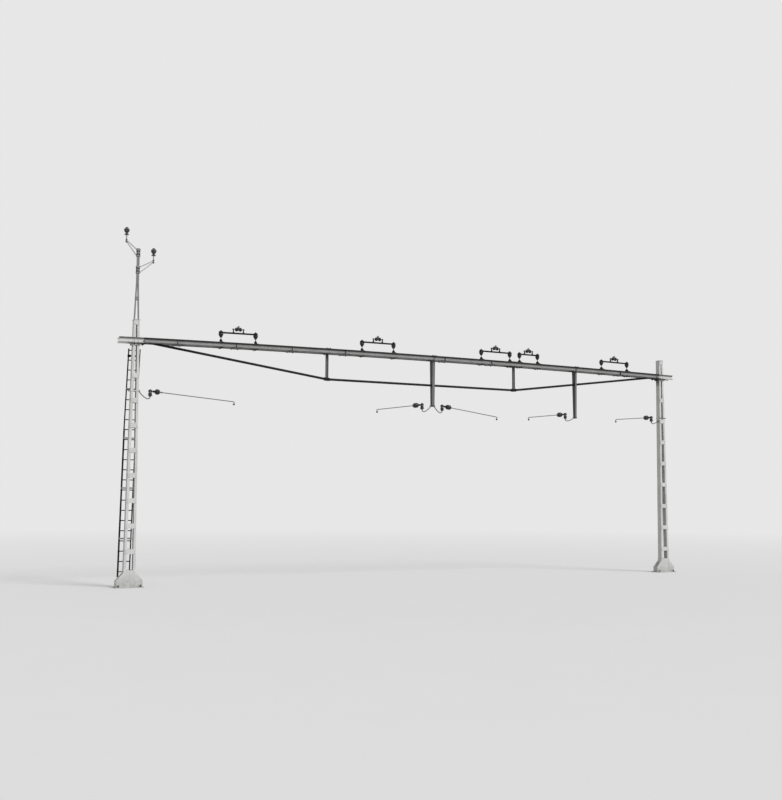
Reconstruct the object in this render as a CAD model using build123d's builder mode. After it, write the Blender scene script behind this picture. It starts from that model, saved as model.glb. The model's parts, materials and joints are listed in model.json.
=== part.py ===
from build123d import *
import os
from collections import namedtuple
from math import acos, atan2, cos, degrees, hypot, sin, sqrt

# Catenary portal over four tracks: two tapered masts, a cambered double-channel beam with a
# tension rod below it, five messenger carriers on top, five steady arms below, a feeder
# extension on the left mast and a ladder behind it.
# X runs along the beam from the left mast to the right one, Y runs along the tracks, Z is up.
# The origin is on the underside of the left mast's base plate, on the mast's axis.

os.makedirs("parts", exist_ok=True)

DropPost = namedtuple("DropPost", "place underside width")
Carrier = namedtuple("Carrier", "place spacing")
SteadyArm = namedtuple("SteadyArm", "held_by side stand_offset pin_level carrier tip_shift tip_level")
Feeder = namedtuple("Feeder", "tip_x tip_level upper_level lower_level")

# Driving sizes of the portal, in millimetres
span = 22000.0
beam_top = 8260.0
beam_camber = 100.0
beam_overhang = 570.0
mast_top = 8860.0

# Masts: two channels with their webs outward, narrowing upward in X only
mast_depth = 220.0
mast_foot_width = 400.0
mast_top_width = 196.0
mast_flange = 80.0
mast_web = 9.0
mast_flange_thick = 12.5
batten_thick = 8.0
batten_height = 160.0
batten_first = {"left": 1170.0, "right": 965.0}
batten_pitch = {"left": 830.0, "right": 885.0}
batten_count = 8
batten_inset = 6.0
head_batten_drop = 90.0
cap_thick = 8.0
cap_rim = 14.0
cap_slot_play = 3.0

# Feet: long base plate, a sloping gusset on each flange side and toe plates between their ends
base_length = 920.0
base_width = 460.0
base_thick = 30.0
anchor_spacing_x = 720.0
anchor_spacing_y = 350.0
anchor_hole_r = 18.0
gusset_length = 870.0
gusset_thick = 12.0
gusset_toe = 205.0
gusset_shoulder = 455.0
gusset_height = 540.0
toe_thick = 14.0

# Beam: two channels back to back with the masts between them
beam_height = 180.0
beam_flange = 70.0
beam_web = 8.0
beam_flange_thick = 11.0
packer_thick = 12.0
packer_height = 150.0
beam_plate_thick = 10.0
beam_plate_length = 330.0
beam_plate_rim = 8.0
beam_plate_first = 1400.0
beam_plate_pitch = 2050.0
beam_plate_clear = 250.0
stiffener_thick = 10.0
post_head_length = 190.0
post_head_thick = 12.0
seat_leg = 75.0
seat_thick = 8.0
seat_reach = 60.0
seat_play = 0.3

# Tension rod and its posts
rod_dia = 70.0
rod_level = 7240.0
rod_anchor_x = 250.0
rod_anchor_level = 8148.0
rod_anchor_length = 80.0
rod_anchor_height = 90.0
truss_post_left = 0.3123 * span
truss_post_right = 0.6709 * span
truss_post_width = 100.0
truss_post_depth = 55.0
truss_post_web = 6.0
truss_post_flange = 8.0
truss_head_rim = 20.0
truss_head_thick = 10.0
shoe_length = 150.0
shoe_height = 110.0
shoe_depth = 80.0

# Drop posts: two small channels that lean together towards the foot
drop_posts = {
    "left": DropPost(0.5077 * span, 6430.0, 100.0),
    "right": DropPost(0.8023 * span, 6240.0, 68.0),
}
drop_flange = 40.0
drop_web = 7.0
drop_foot_half = 68.0
drop_head_gap = 14.0
drop_foot_block = 60.0
drop_foot_rim = 8.0

# Messenger carriers on the beam: place along the beam and distance between the two posts
carriers = {
    1: Carrier(0.1611 * span, 0.0568 * span),
    2: Carrier(0.4041 * span, 0.0582 * span),
    3: Carrier(0.6339 * span, 0.0586 * span),
    4: Carrier(0.7027 * span, 0.0382 * span),
    5: Carrier(0.8925 * span, 0.0586 * span),
}
foot_plate_length = 110.0
foot_plate_thick = 10.0
foot_block_r = 48.0
foot_block_height = 92.0
foot_block_top_r = 30.0
foot_bolt_r = 12.0
foot_nut_r = 24.0
foot_nut_height = 20.0
foot_bolt_end = 14.0
pin_r = 13.0
post_insulator_base = 180.0
post_insulator_height = 140.0
post_insulator_neck = 46.0
post_insulator_neck_rise = 26.0
post_insulator_r = 88.0
post_insulator_brim = 84.0
post_insulator_shoulder = 112.0
post_insulator_crown = 62.0
post_cap_r = 64.0
post_cap_height = 90.0
post_cap_top_r = 38.0
carrier_bar_r = 26.0
carrier_bar_rise = 32.0
lug_offset = 180.0
lug_foot_half = 40.0
lug_top_half = 15.0
lug_slope_rise = 75.0
lug_depth = 44.0
lug_crown = 25.0
lug_pin_r = 15.0
cross_axis_rise = 140.0
cross_insulator_r = 72.0
cross_insulator_length = 104.0
cross_insulator_waist = 44.0
cross_insulator_end = 30.0
cross_insulator_belly = 44.0
clamp_width = 44.0
clamp_depth = 80.0
clamp_underside = 42.0
clamp_shoulder = 112.0
clamp_crown = 18.0
clamp_bore_r = 8.0
clamp_bore_rise = 102.0

# Steady arms: what holds each one, which way it points, stand, pin, and the end of its rod
steady_arms = {
    1: SteadyArm("left_mast", 1, 530.0, 6490.0, 1, -100.0, 6262.0),
    2: SteadyArm("left_drop_post", -1, 440.0, 6490.0, 2, -40.0, 6225.0),
    3: SteadyArm("left_drop_post", 1, 410.0, 6475.0, 3, 60.0, 6150.0),
    4: SteadyArm("right_drop_post", -1, 470.0, 6390.0, 4, -30.0, 6195.0),
    5: SteadyArm("right_mast", -1, 490.0, 6435.0, 5, 25.0, 6275.0),
}
hook_r = 18.0
hook_sweep_r = 600.0
hook_bend_r = 78.0
hook_rise = 6.0
hook_collar_r = 28.0
hook_collar_length = 34.0
hook_root_rise = 24.0
stand_height = 120.0
stand_seat_r = 26.0
stand_skirt_r = 78.0
stand_skirt_rise = 28.0
stand_waist_r = 50.0
stand_waist_rise = 52.0
stand_shoulder_r = 54.0
stand_shoulder_rise = 88.0
stand_crown_r = 44.0
stand_cap_r = 50.0
stand_cap_height = 22.0
clevis_cheek_thick = 16.0
clevis_slot = 15.6
clevis_r = 42.0
clevis_pin_rise = 36.0
steady_pin_r = 10.0
steady_pin_play = 0.3
steady_pin_overrun = 8.0
tongue_thick = 14.0
tongue_r = 19.0
tongue_height = 20.0
tongue_length = 70.0
arm_neck_r = 25.0
arm_neck_length = 82.0
arm_insulator_length = 235.0
arm_insulator_r = 94.0
arm_insulator_belly = 84.0
arm_insulator_shoulder = 26.0
arm_insulator_shoulder_r = 68.0
arm_cap_r = 32.0
arm_cap_length = 26.0
arm_rod_r = 16.0
arm_tip_r = 50.0
arm_tip_turn = 110.0
arm_clip_length = 55.0
arm_clip_width = 40.0
arm_clip_depth = 34.0
arm_clip_groove_r = 7.0
yoke_bar_height = 30.0
yoke_bar_thick = 10.0
yoke_pad_width = 90.0
yoke_pad_rim = 36.0
yoke_levels = {1: 6470.0, 5: 6415.0}
hook_levels = {1: 6480.0, 5: 6285.0}
yoke_overrun = 60.0

# Feeder extension on the left mast
leg_width = 42.0
leg_depth = 70.0
leg_wall = 7.0
leg_foot_level = 8400.0
leg_join_level = 10160.0
leg_top_level = 11300.0
leg_join_gap = 4.0
leg_tie_level = 9600.0
leg_tie_height = 110.0
leg_tie_thick = 8.0
leg_cap_rim = 8.0
leg_cap_thick = 10.0
bracket_bar = 34.0
bracket_depth = 26.0
bracket_tip_half = 22.0
feeders = {
    "left": Feeder(-405.0, 11540.0, 11270.0, 11055.0),
    "right": Feeder(515.0, 10915.0, 10675.0, 10480.0),
}
clamp_band_height = 50.0
clamp_band_wall = 18.0
feeder_head_r = 33.0
feeder_head_height = 74.0
feeder_pin_r = 19.0
feeder_pin_height = 155.0
feeder_insulator_height = 268.0
feeder_skirt_r = 80.0
feeder_skirt_rise = 14.0
feeder_skirt_top = 62.0
feeder_waist_r = 40.0
feeder_waist_rise = 82.0
feeder_bulb_foot_r = 60.0
feeder_bulb_foot_rise = 98.0
feeder_bulb_r = 97.0
feeder_bulb_rise = 182.0
feeder_dome_r = 70.0
feeder_dome_rise = 232.0
feeder_tip_r = 22.0

# Ladder behind the left mast, in two lengths that lap
ladder_gap = 150.0
ladder_width = 380.0
ladder_foot_x = -314.0
ladder_lap_x = -244.0
ladder_top_x = -161.0
ladder_foot_level = 330.0
ladder_lap_level = 5070.0
ladder_lap_length = 300.0
ladder_top_level = 7930.0
ladder_lower_rail = (34.0, 46.0)
ladder_upper_rail = (26.0, 38.0)
ladder_rung_r = 10.0
ladder_rung_pitch = 335.0
ladder_rung_rise = 170.0
ladder_tie_bays = (0, 2, 4, 6)
ladder_head_tie = 7680.0
ladder_tie_height = 50.0
ladder_tie_thick = 8.0


# Sizes that follow from the driving ones
mast_half_depth = mast_depth / 2
beam_half_gap = mast_half_depth + packer_thick
beam_half_width = beam_half_gap + beam_flange
beam_plate_width = 2 * (beam_half_width - beam_plate_rim)
camber_radius = (span / 2) ** 2 / (2 * beam_camber) + beam_camber / 2
mast_taper = (mast_foot_width - mast_top_width) / 2 / (mast_top - base_thick)
truss_posts_at = (truss_post_left, truss_post_right)
holders = {
    "left_mast": 0.0,
    "right_mast": span,
    "left_drop_post": drop_posts["left"].place,
    "right_drop_post": drop_posts["right"].place,
}


def beam_level(x):
    """Height of the beam's top edge at a place along the span."""
    return beam_top + beam_camber - camber_radius + sqrt(camber_radius**2 - (x - span / 2) ** 2)


def beam_slope(x):
    """Angle of the beam's top edge there, in radians, rising towards +X."""
    return atan2(span / 2 - x, sqrt(camber_radius**2 - (x - span / 2) ** 2))


def beam_seat(x, drop=0.0):
    """Plane that lies on the beam's top edge at x, or drop below it, square to the beam."""
    a = beam_slope(x)
    return Plane(origin=(x, 0, beam_level(x)), x_dir=(cos(a), 0, sin(a)),
                 z_dir=(-sin(a), 0, cos(a))).offset(-drop)


def mast_half_width(level):
    """Half of a mast's width in X at a level."""
    return mast_foot_width / 2 - mast_taper * (level - base_thick)


def leg_offset(level):
    """Distance of a leg's middle from the mast's axis at a level."""
    if level <= mast_top:
        return mast_half_width(level) - mast_web - seat_play - leg_width / 2
    if level >= leg_join_level:
        return (leg_width + leg_join_gap) / 2
    share = (level - mast_top) / (leg_join_level - mast_top)
    return leg_offset(mast_top) + share * (leg_offset(leg_join_level) - leg_offset(mast_top))


def upright(seat, rise=0.0):
    """Plane through a seat's axis, for profiles that are turned about that axis."""
    return Plane(origin=seat.origin + seat.z_dir * rise, x_dir=seat.x_dir, z_dir=-seat.y_dir)


def front_view(x, y, z, side=1):
    """Upright plane seen from the front, its own X pointing to +X or -X and its Y up."""
    return Plane((x, y, z), x_dir=(side, 0, 0), z_dir=(0, -side, 0))


def keep(piece, label):
    """Name a finished piece and write its file."""
    piece.label = label
    export_step(piece, f"parts/{label}.step")


def channel_outline(face_x, inward, height, flange, web, flange_thick):
    """Channel section with its web's outer face at face_x and its flanges pointing inward."""
    with Locations((face_x + inward * flange / 2, 0)):
        Rectangle(flange, height)
    with Locations((face_x + inward * (flange + web) / 2, 0)):
        Rectangle(flange - web, height - 2 * flange_thick, mode=Mode.SUBTRACT)


# Masts
def mast_channel(mast_x, side):
    """One leaning channel of a mast; side is -1 for the left leg and +1 for the right one."""
    rise = mast_top - base_thick
    shift = -side * mast_taper * rise
    with BuildPart() as leg:
        with BuildSketch(Plane.XY.offset(base_thick)):
            channel_outline(mast_x + side * mast_foot_width / 2, -side, mast_depth, mast_flange,
                            mast_web, mast_flange_thick)
        extrude(amount=hypot(rise, shift), dir=(shift, 0, rise))
    return leg.part


def mast_battens(mast_x, name):
    """Riveted plates across the front and back of a mast, and the small plate at its head."""
    levels = [batten_first[name] + i * batten_pitch[name] for i in range(batten_count)]
    levels.append(mast_top - head_batten_drop)
    with BuildPart() as plates:
        for face in (-1, 1):
            for level in levels:
                width = 2 * (mast_half_width(level + batten_height / 2) - batten_inset)
                with BuildSketch(front_view(mast_x, face * (mast_half_depth + batten_thick / 2), level)):
                    Rectangle(width, batten_height)
                extrude(amount=batten_thick / 2, both=True)
    return plates.part


def mast_cap(mast_x, slotted):
    """Flat plate on the mast's head, with a slot where the extension's legs come through."""
    with BuildPart() as cap:
        with BuildSketch(Plane.XY.offset(mast_top)):
            with Locations((mast_x, 0)):
                Rectangle(mast_top_width + 2 * cap_rim, mast_depth + 2 * (batten_thick + cap_rim))
                if slotted:
                    slot_half = leg_offset(mast_top) + leg_width / 2 + cap_slot_play
                    Rectangle(2 * slot_half, leg_depth + 2 * cap_slot_play, mode=Mode.SUBTRACT)
        extrude(amount=cap_thick)
    return cap.part


def base_plate(mast_x):
    """Long plate on the foundation with four anchor holes."""
    with BuildPart() as plate:
        with BuildSketch():
            with Locations((mast_x, 0)):
                Rectangle(base_length, base_width)
                with GridLocations(anchor_spacing_x, anchor_spacing_y, 2, 2):
                    Circle(anchor_hole_r, mode=Mode.SUBTRACT)
        extrude(amount=base_thick)
    return plate.part


def foot_gussets(mast_x):
    """Sloping plates on the foot's front and back flanges, and the toe plates between their ends."""
    half = gusset_length / 2
    shoulder = mast_half_width(base_thick + gusset_shoulder)
    with BuildPart() as gussets:
        for face in (-1, 1):
            with BuildSketch(front_view(mast_x, face * (mast_half_depth + gusset_thick / 2), base_thick)):
                with BuildLine():
                    Polyline((-half, 0), (half, 0), (half, gusset_toe), (shoulder, gusset_shoulder),
                             (shoulder, gusset_height), (-shoulder, gusset_height),
                             (-shoulder, gusset_shoulder), (-half, gusset_toe), close=True)
                make_face()
            extrude(amount=gusset_thick / 2, both=True)
        for side in (-1, 1):
            toe_x = mast_x + side * (half - toe_thick / 2)
            with BuildSketch(Plane((toe_x, 0, base_thick + gusset_toe / 2), x_dir=(0, 1, 0),
                                   z_dir=(1, 0, 0))):
                Rectangle(2 * (mast_half_depth - seat_play), gusset_toe)
            extrude(amount=toe_thick / 2, both=True)
    return gussets.part


for mast_name, mast_place in (("left", 0.0), ("right", span)):
    keep(base_plate(mast_place), f"{mast_name}_base_plate")
    keep(foot_gussets(mast_place), f"{mast_name}_foot_gussets")
    outer_side = -1 if mast_name == "left" else 1
    keep(mast_channel(mast_place, outer_side), f"{mast_name}_mast_outer_channel")
    keep(mast_channel(mast_place, -outer_side), f"{mast_name}_mast_inner_channel")
    keep(mast_battens(mast_place, mast_name), f"{mast_name}_mast_battens")
    keep(mast_cap(mast_place, mast_name == "left"), f"{mast_name}_mast_cap")


# Beam
def beam_band(drop, height):
    """Outline between two arcs that follow the camber, its top edge a drop below the beam's top."""
    ends = (-beam_overhang, span / 2, span + beam_overhang)
    top = [(x, beam_level(x) - drop) for x in ends]
    low = [(x, beam_level(x) - drop - height) for x in ends]
    with BuildLine() as outline:
        upper = ThreePointArc(*top)
        lower = ThreePointArc(*low)
        Line(upper @ 0, lower @ 0)
        Line(upper @ 1, lower @ 1)
    make_face(outline.edges())


with BuildPart() as beam_front:
    with BuildSketch(Plane.XZ.offset(beam_half_gap)):
        beam_band(0, beam_height)
    extrude(amount=beam_flange)
    with BuildSketch(Plane.XZ.offset(beam_half_gap + beam_web)):
        beam_band(beam_flange_thick, beam_height - 2 * beam_flange_thick)
    extrude(amount=beam_flange - beam_web, mode=Mode.SUBTRACT)
keep(beam_front.part, "beam_front_channel")

with BuildPart() as beam_rear:
    mirror(beam_front.part, about=Plane.XZ)
keep(beam_rear.part, "beam_rear_channel")


def carrier_seats(carrier):
    """Planes on the beam's top under a carrier's two posts."""
    return [beam_seat(carrier.place + side * carrier.spacing / 2) for side in (-1, 1)]


def beam_plate_places():
    """Places of the plates that tie the two channels, clear of all that stands on or hangs from them."""
    taken = list(truss_posts_at) + [post.place for post in drop_posts.values()]
    taken += [seat.origin.X for carrier in carriers.values() for seat in carrier_seats(carrier)]
    count = int((span - 2 * beam_plate_first) / beam_plate_pitch) + 1
    places = [beam_plate_first + i * beam_plate_pitch for i in range(count)]
    return [x for x in places if all(abs(x - post) > beam_plate_clear for post in taken)]


with BuildPart() as beam_ties:
    for x in beam_plate_places():
        with BuildSketch(beam_seat(x, beam_height + seat_play)):
            Rectangle(beam_plate_length, beam_plate_width)
        extrude(amount=-beam_plate_thick)
        # Stiffeners inside both channels, from flange to flange
        reach = beam_flange - beam_web - beam_plate_rim
        for face in (-1, 1):
            middle = face * (beam_half_gap + beam_web + seat_play + reach / 2)
            seat = beam_seat(x, beam_flange_thick + seat_play)
            with BuildSketch(seat):
                with Locations((0, middle)):
                    Rectangle(stiffener_thick, reach)
            extrude(amount=-(beam_height - 2 * (beam_flange_thick + seat_play)))
    for x in list(truss_posts_at) + [post.place for post in drop_posts.values()]:
        with BuildSketch(beam_seat(x, -seat_play)):
            Rectangle(post_head_length, beam_plate_width)
        extrude(amount=post_head_thick)
keep(beam_ties.part, "beam_tie_plates")

with BuildPart() as seats:
    for mast_place in (0.0, span):
        # Packing plates between the mast's flanges and the beam's webs
        middle = beam_level(mast_place) - beam_height / 2
        for face in (-1, 1):
            width = 2 * (mast_half_width(beam_top) - batten_inset)
            with BuildSketch(front_view(mast_place, face * (beam_half_gap - packer_thick / 2), middle)):
                Rectangle(width, packer_height)
            extrude(amount=packer_thick / 2, both=True)
        # Angles on the mast's flanges that the beam rests on
        half_length = mast_half_width(beam_top - beam_height) + seat_reach
        low_side = min(beam_level(mast_place - half_length), beam_level(mast_place + half_length))
        under = low_side - beam_height - seat_play
        for face in (-1, 1):
            with BuildSketch(Plane((mast_place, 0, under), x_dir=(0, face, 0), z_dir=(face, 0, 0))):
                with BuildLine():
                    Polyline((mast_half_depth, 0), (mast_half_depth + seat_leg, 0),
                             (mast_half_depth + seat_leg, -seat_thick),
                             (mast_half_depth + seat_thick, -seat_thick),
                             (mast_half_depth + seat_thick, -seat_leg),
                             (mast_half_depth, -seat_leg), close=True)
                make_face()
            extrude(amount=half_length, both=True)
keep(seats.part, "beam_seats")


# Tension rod
anchors_at = (rod_anchor_x, span - rod_anchor_x)
rod_tilts = [atan2(rod_anchor_level - rod_level, abs(post_x - anchor_x))
             for anchor_x, post_x in zip(anchors_at, truss_posts_at)]

with BuildPart() as tension_rods:
    for anchor_x, post_x in zip(anchors_at, truss_posts_at):
        run_x = post_x - anchor_x
        run_z = rod_level - rod_anchor_level
        length = hypot(run_x, run_z)
        along = Vector(run_x / length, 0, run_z / length)
        start = Vector(anchor_x, 0, rod_anchor_level) + along * (rod_anchor_length / 2)
        with BuildSketch(Plane(origin=start, z_dir=along)):
            Circle(rod_dia / 2)
        extrude(amount=length - rod_anchor_length / 2 - shoe_length / 2)
    with BuildSketch(Plane((truss_post_left + shoe_length / 2, 0, rod_level), z_dir=(1, 0, 0))):
        Circle(rod_dia / 2)
    extrude(amount=truss_post_right - truss_post_left - shoe_length)
keep(tension_rods.part, "tension_rods")

with BuildPart() as rod_anchors:
    for anchor_x, tilt in zip(anchors_at, (-rod_tilts[0], rod_tilts[1])):
        with BuildSketch(Plane((anchor_x, 0, rod_anchor_level), x_dir=(cos(tilt), 0, sin(tilt)),
                               z_dir=(0, -1, 0))):
            Rectangle(rod_anchor_length, rod_anchor_height)
        extrude(amount=beam_half_gap, both=True)
keep(rod_anchors.part, "rod_anchors")

with BuildPart() as shoes:
    for post_x, tilt, side in zip(truss_posts_at, rod_tilts, (-1, 1)):
        # The outer end face is square to the sloping rod, the inner one to the level rod
        face_x = cos(tilt) * shoe_length / 2
        face_z = sin(tilt) * shoe_length / 2
        half = shoe_height / 2
        lean_x = sin(tilt) * half
        lean_z = cos(tilt) * half
        with BuildSketch(front_view(post_x, 0, rod_level, side)):
            with BuildLine():
                Polyline((-shoe_length / 2, -half), (0, -half), (face_x + lean_x, face_z - lean_z),
                         (face_x - lean_x, face_z + lean_z), (truss_post_width / 2, half),
                         (-shoe_length / 2, half), close=True)
            make_face()
        extrude(amount=shoe_depth / 2, both=True)
keep(shoes.part, "truss_shoes")

with BuildPart() as truss_posts:
    # Short I-section posts, each with a head plate under the beam
    for post_x in truss_posts_at:
        foot = rod_level + shoe_height / 2
        seat = beam_seat(post_x, beam_height + seat_play)
        with BuildSketch(seat):
            Rectangle(truss_post_width + 2 * truss_head_rim, beam_plate_width)
        extrude(amount=-truss_head_thick)
        with BuildSketch(Plane.XY.offset(foot)):
            with Locations((post_x, 0)):
                Rectangle(truss_post_width, truss_post_depth)
                for side in (-1, 1):
                    with Locations((0, side * (truss_post_depth + truss_post_web) / 4)):
                        Rectangle(truss_post_width - 2 * truss_post_flange,
                                  (truss_post_depth - truss_post_web) / 2, mode=Mode.SUBTRACT)
        extrude(amount=seat.origin.Z - truss_head_thick / 2 - foot)
keep(truss_posts.part, "truss_posts")


# Drop posts
def drop_bars(post):
    """Two channels that hang between the beam's webs and lean together downward."""
    foot = post.underside + drop_foot_block
    rise = beam_level(post.place) - drop_head_gap - foot
    with BuildPart() as bars:
        for face in (-1, 1):
            shift = face * (beam_half_gap - seat_play - drop_foot_half)
            with BuildSketch(Plane.XY.offset(foot)):
                with Locations((post.place, face * (drop_foot_half - drop_flange / 2))):
                    Rectangle(post.width, drop_flange)
                with Locations((post.place, face * (drop_foot_half - (drop_flange + drop_web) / 2))):
                    Rectangle(post.width - 2 * drop_web, drop_flange - drop_web, mode=Mode.SUBTRACT)
            extrude(amount=hypot(rise, shift), dir=(0, shift, rise))
    return bars.part


for post_name, drop_post in drop_posts.items():
    keep(drop_bars(drop_post), f"drop_post_{post_name}_bars")

with BuildPart() as drop_feet:
    for post in drop_posts.values():
        with BuildSketch(Plane.XY.offset(post.underside)):
            with Locations((post.place, 0)):
                Rectangle(post.width + 2 * drop_foot_rim, 2 * (drop_foot_half + drop_foot_rim))
        extrude(amount=drop_foot_block)
keep(drop_feet.part, "drop_post_feet")


# Messenger carriers
def all_carrier_seats():
    """Planes on the beam's top under the posts of all carriers."""
    return [seat for carrier in carriers.values() for seat in carrier_seats(carrier)]


with BuildPart() as carrier_feet:
    for seat in all_carrier_seats():
        with BuildSketch(seat):
            Rectangle(foot_plate_length, beam_plate_width)
        extrude(amount=foot_plate_thick)
        # Block and pin on the plate, turned about the post's axis
        with BuildSketch(upright(seat)):
            with BuildLine():
                Polyline((0, 0), (foot_block_r, 0), (foot_block_r, foot_block_height),
                         (foot_block_top_r, foot_block_height + foot_block_r - foot_block_top_r),
                         (pin_r, foot_block_height + foot_block_r - foot_block_top_r),
                         (pin_r, post_insulator_base), (0, post_insulator_base), close=True)
            make_face()
        revolve(axis=Axis(seat.origin, seat.z_dir))
        # Bolt down between the channels, with a plate and a nut under them
        lower = beam_height + seat_play
        with BuildSketch(seat):
            Circle(foot_bolt_r)
        extrude(amount=-(lower + foot_plate_thick + foot_nut_height + foot_bolt_end))
        with BuildSketch(seat.offset(-lower)):
            Rectangle(foot_plate_length, beam_plate_width)
        extrude(amount=-foot_plate_thick)
        with BuildSketch(seat.offset(-lower - foot_plate_thick)):
            RegularPolygon(foot_nut_r, 6)
        extrude(amount=-foot_nut_height)
keep(carrier_feet.part, "carrier_feet")


with BuildPart() as post_insulators:
    # Narrow neck, mushroom brim and low crown
    for seat in all_carrier_seats():
        with BuildSketch(upright(seat, post_insulator_base)):
            with BuildLine():
                Polyline((0, 0), (post_insulator_neck, 0),
                         (post_insulator_neck, post_insulator_neck_rise),
                         (post_insulator_r, post_insulator_brim),
                         (post_insulator_r, post_insulator_shoulder),
                         (post_insulator_crown, post_insulator_height),
                         (0, post_insulator_height), close=True)
            make_face()
        revolve(axis=Axis(seat.origin, seat.z_dir))
keep(post_insulators.part, "carrier_post_insulators")

crown_height = post_insulator_base + post_insulator_height
bar_height = crown_height + carrier_bar_rise


def carrier_bar(carrier):
    """Plane at the middle of a carrier's bar, its X along the bar, and the bar's length."""
    left_post, right_post = carrier_seats(carrier)
    start = left_post.origin + left_post.z_dir * bar_height
    end = right_post.origin + right_post.z_dir * bar_height
    return Plane(origin=(start + end) / 2, x_dir=end - start, z_dir=(0, -1, 0)), (end - start).length


with BuildPart() as carrier_yokes:
    for carrier in carriers.values():
        for seat in carrier_seats(carrier):
            # Metal cap on the insulator's crown, which holds the bar's end
            with BuildSketch(upright(seat, crown_height)):
                with BuildLine():
                    Polyline((0, 0), (post_cap_r, 0), (post_cap_r, post_cap_height / 2),
                             (post_cap_top_r, post_cap_height), (0, post_cap_height), close=True)
                make_face()
            revolve(axis=Axis(seat.origin, seat.z_dir))
        plane, length = carrier_bar(carrier)
        with BuildSketch(Plane(origin=plane.origin, z_dir=plane.x_dir)):
            Circle(carrier_bar_r)
        extrude(amount=length / 2, both=True)
        for side in (-1, 1):
            # Lug with a broad foot on the bar, and the pin that holds the cross insulator
            with BuildSketch(plane):
                with BuildLine():
                    crown = cross_axis_rise + lug_crown
                    place = side * lug_offset
                    Polyline((place - lug_foot_half, 0), (place + lug_foot_half, 0),
                             (place + lug_top_half, lug_slope_rise), (place + lug_top_half, crown),
                             (place - lug_top_half, crown), (place - lug_top_half, lug_slope_rise),
                             close=True)
                make_face()
            extrude(amount=lug_depth / 2, both=True)
            pin_start = plane.origin + plane.y_dir * cross_axis_rise + plane.x_dir * (side * lug_offset)
            with BuildSketch(Plane(origin=pin_start, z_dir=plane.x_dir * -side)):
                Circle(lug_pin_r)
            extrude(amount=lug_offset - clamp_width / 2 - cross_insulator_length)
keep(carrier_yokes.part, "carrier_yokes")

with BuildPart() as cross_insulators:
    for carrier in carriers.values():
        plane, _ = carrier_bar(carrier)
        middle = plane.origin + plane.y_dir * cross_axis_rise
        for side in (-1, 1):
            inner = side * clamp_width / 2
            outer = side * (clamp_width / 2 + cross_insulator_length)
            belly = side * cross_insulator_belly / 2
            with BuildSketch(Plane(origin=middle, x_dir=plane.x_dir, z_dir=plane.z_dir)):
                with BuildLine():
                    Polyline((inner, 0), (inner, cross_insulator_waist),
                             ((inner + outer) / 2 - belly, cross_insulator_r),
                             ((inner + outer) / 2 + belly, cross_insulator_r),
                             (outer, cross_insulator_end), (outer, 0), close=True)
                make_face()
            revolve(axis=Axis(middle, plane.x_dir))
keep(cross_insulators.part, "carrier_cross_insulators")

with BuildPart() as clamps:
    for carrier in carriers.values():
        plane, _ = carrier_bar(carrier)
        half = clamp_width / 2
        with BuildSketch(Plane(origin=plane.origin + plane.y_dir * cross_axis_rise, x_dir=plane.x_dir,
                               z_dir=plane.z_dir)):
            with BuildLine():
                sides = Polyline((-half, clamp_shoulder), (-half, -clamp_underside),
                                 (half, -clamp_underside), (half, clamp_shoulder))
                SagittaArc(sides @ 1, sides @ 0, -clamp_crown)
            make_face()
            with Locations((0, clamp_bore_rise)):
                Circle(clamp_bore_r, mode=Mode.SUBTRACT)
        extrude(amount=clamp_depth / 2, both=True)
keep(clamps.part, "messenger_clamps")


# Steady arms
def stand_place(arm):
    """Place along the span of an arm's stand insulator."""
    return holders[arm.held_by] + arm.side * arm.stand_offset


def stand_foot(arm):
    """Level of a stand insulator's foot below the pin on its head."""
    return arm.pin_level - clevis_pin_rise - stand_cap_height - stand_height


def hook_root(number):
    """Place and level where a hook leaves the piece that carries it."""
    arm = steady_arms[number]
    if number in hook_levels:
        level = hook_levels[number]
        reach = mast_half_width(level - yoke_pad_rim) + seat_play + yoke_bar_thick
    else:
        post = drop_posts[arm.held_by.split("_")[0]]
        level = post.underside + hook_root_rise
        reach = post.width / 2 + drop_foot_rim
    return holders[arm.held_by] + arm.side * reach, level


def hook_curve(reach, drop):
    """Wide sweep down from the collar, tight bend below the stand, short rise into its foot."""
    bend_u = reach - hook_bend_r
    bend_v = -drop - hook_rise
    gap = hypot(bend_u, bend_v)
    wider = hook_sweep_r - hook_bend_r
    lift = acos((gap**2 + hook_sweep_r**2 - wider**2) / (2 * gap * hook_sweep_r))
    toward = atan2(bend_v, bend_u) + lift
    sweep_u = hook_sweep_r * cos(toward)
    sweep_v = hook_sweep_r * sin(toward)
    first = degrees(atan2(-sweep_v, -sweep_u))
    last = degrees(atan2(bend_v - sweep_v, bend_u - sweep_u))
    CenterArc((sweep_u, sweep_v), hook_sweep_r, first, last - first)
    bend = CenterArc((bend_u, bend_v), hook_bend_r, last, -last)
    Line(bend @ 1, (reach, -drop))


with BuildPart() as hooks:
    for number, arm in steady_arms.items():
        root_x, root_z = hook_root(number)
        start_x = root_x + arm.side * hook_collar_length / 2
        with BuildLine(front_view(start_x, 0, root_z, arm.side)) as path:
            hook_curve(abs(stand_place(arm) - start_x), root_z - stand_foot(arm))
        wire = path.wire()
        with BuildSketch(Plane(origin=wire @ 0, z_dir=wire % 0)):
            Circle(hook_r)
        sweep(path=wire)
        with BuildSketch(Plane((root_x, 0, root_z), z_dir=(arm.side, 0, 0))):
            Circle(hook_collar_r)
        extrude(amount=hook_collar_length)
keep(hooks.part, "steady_hooks")

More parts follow.
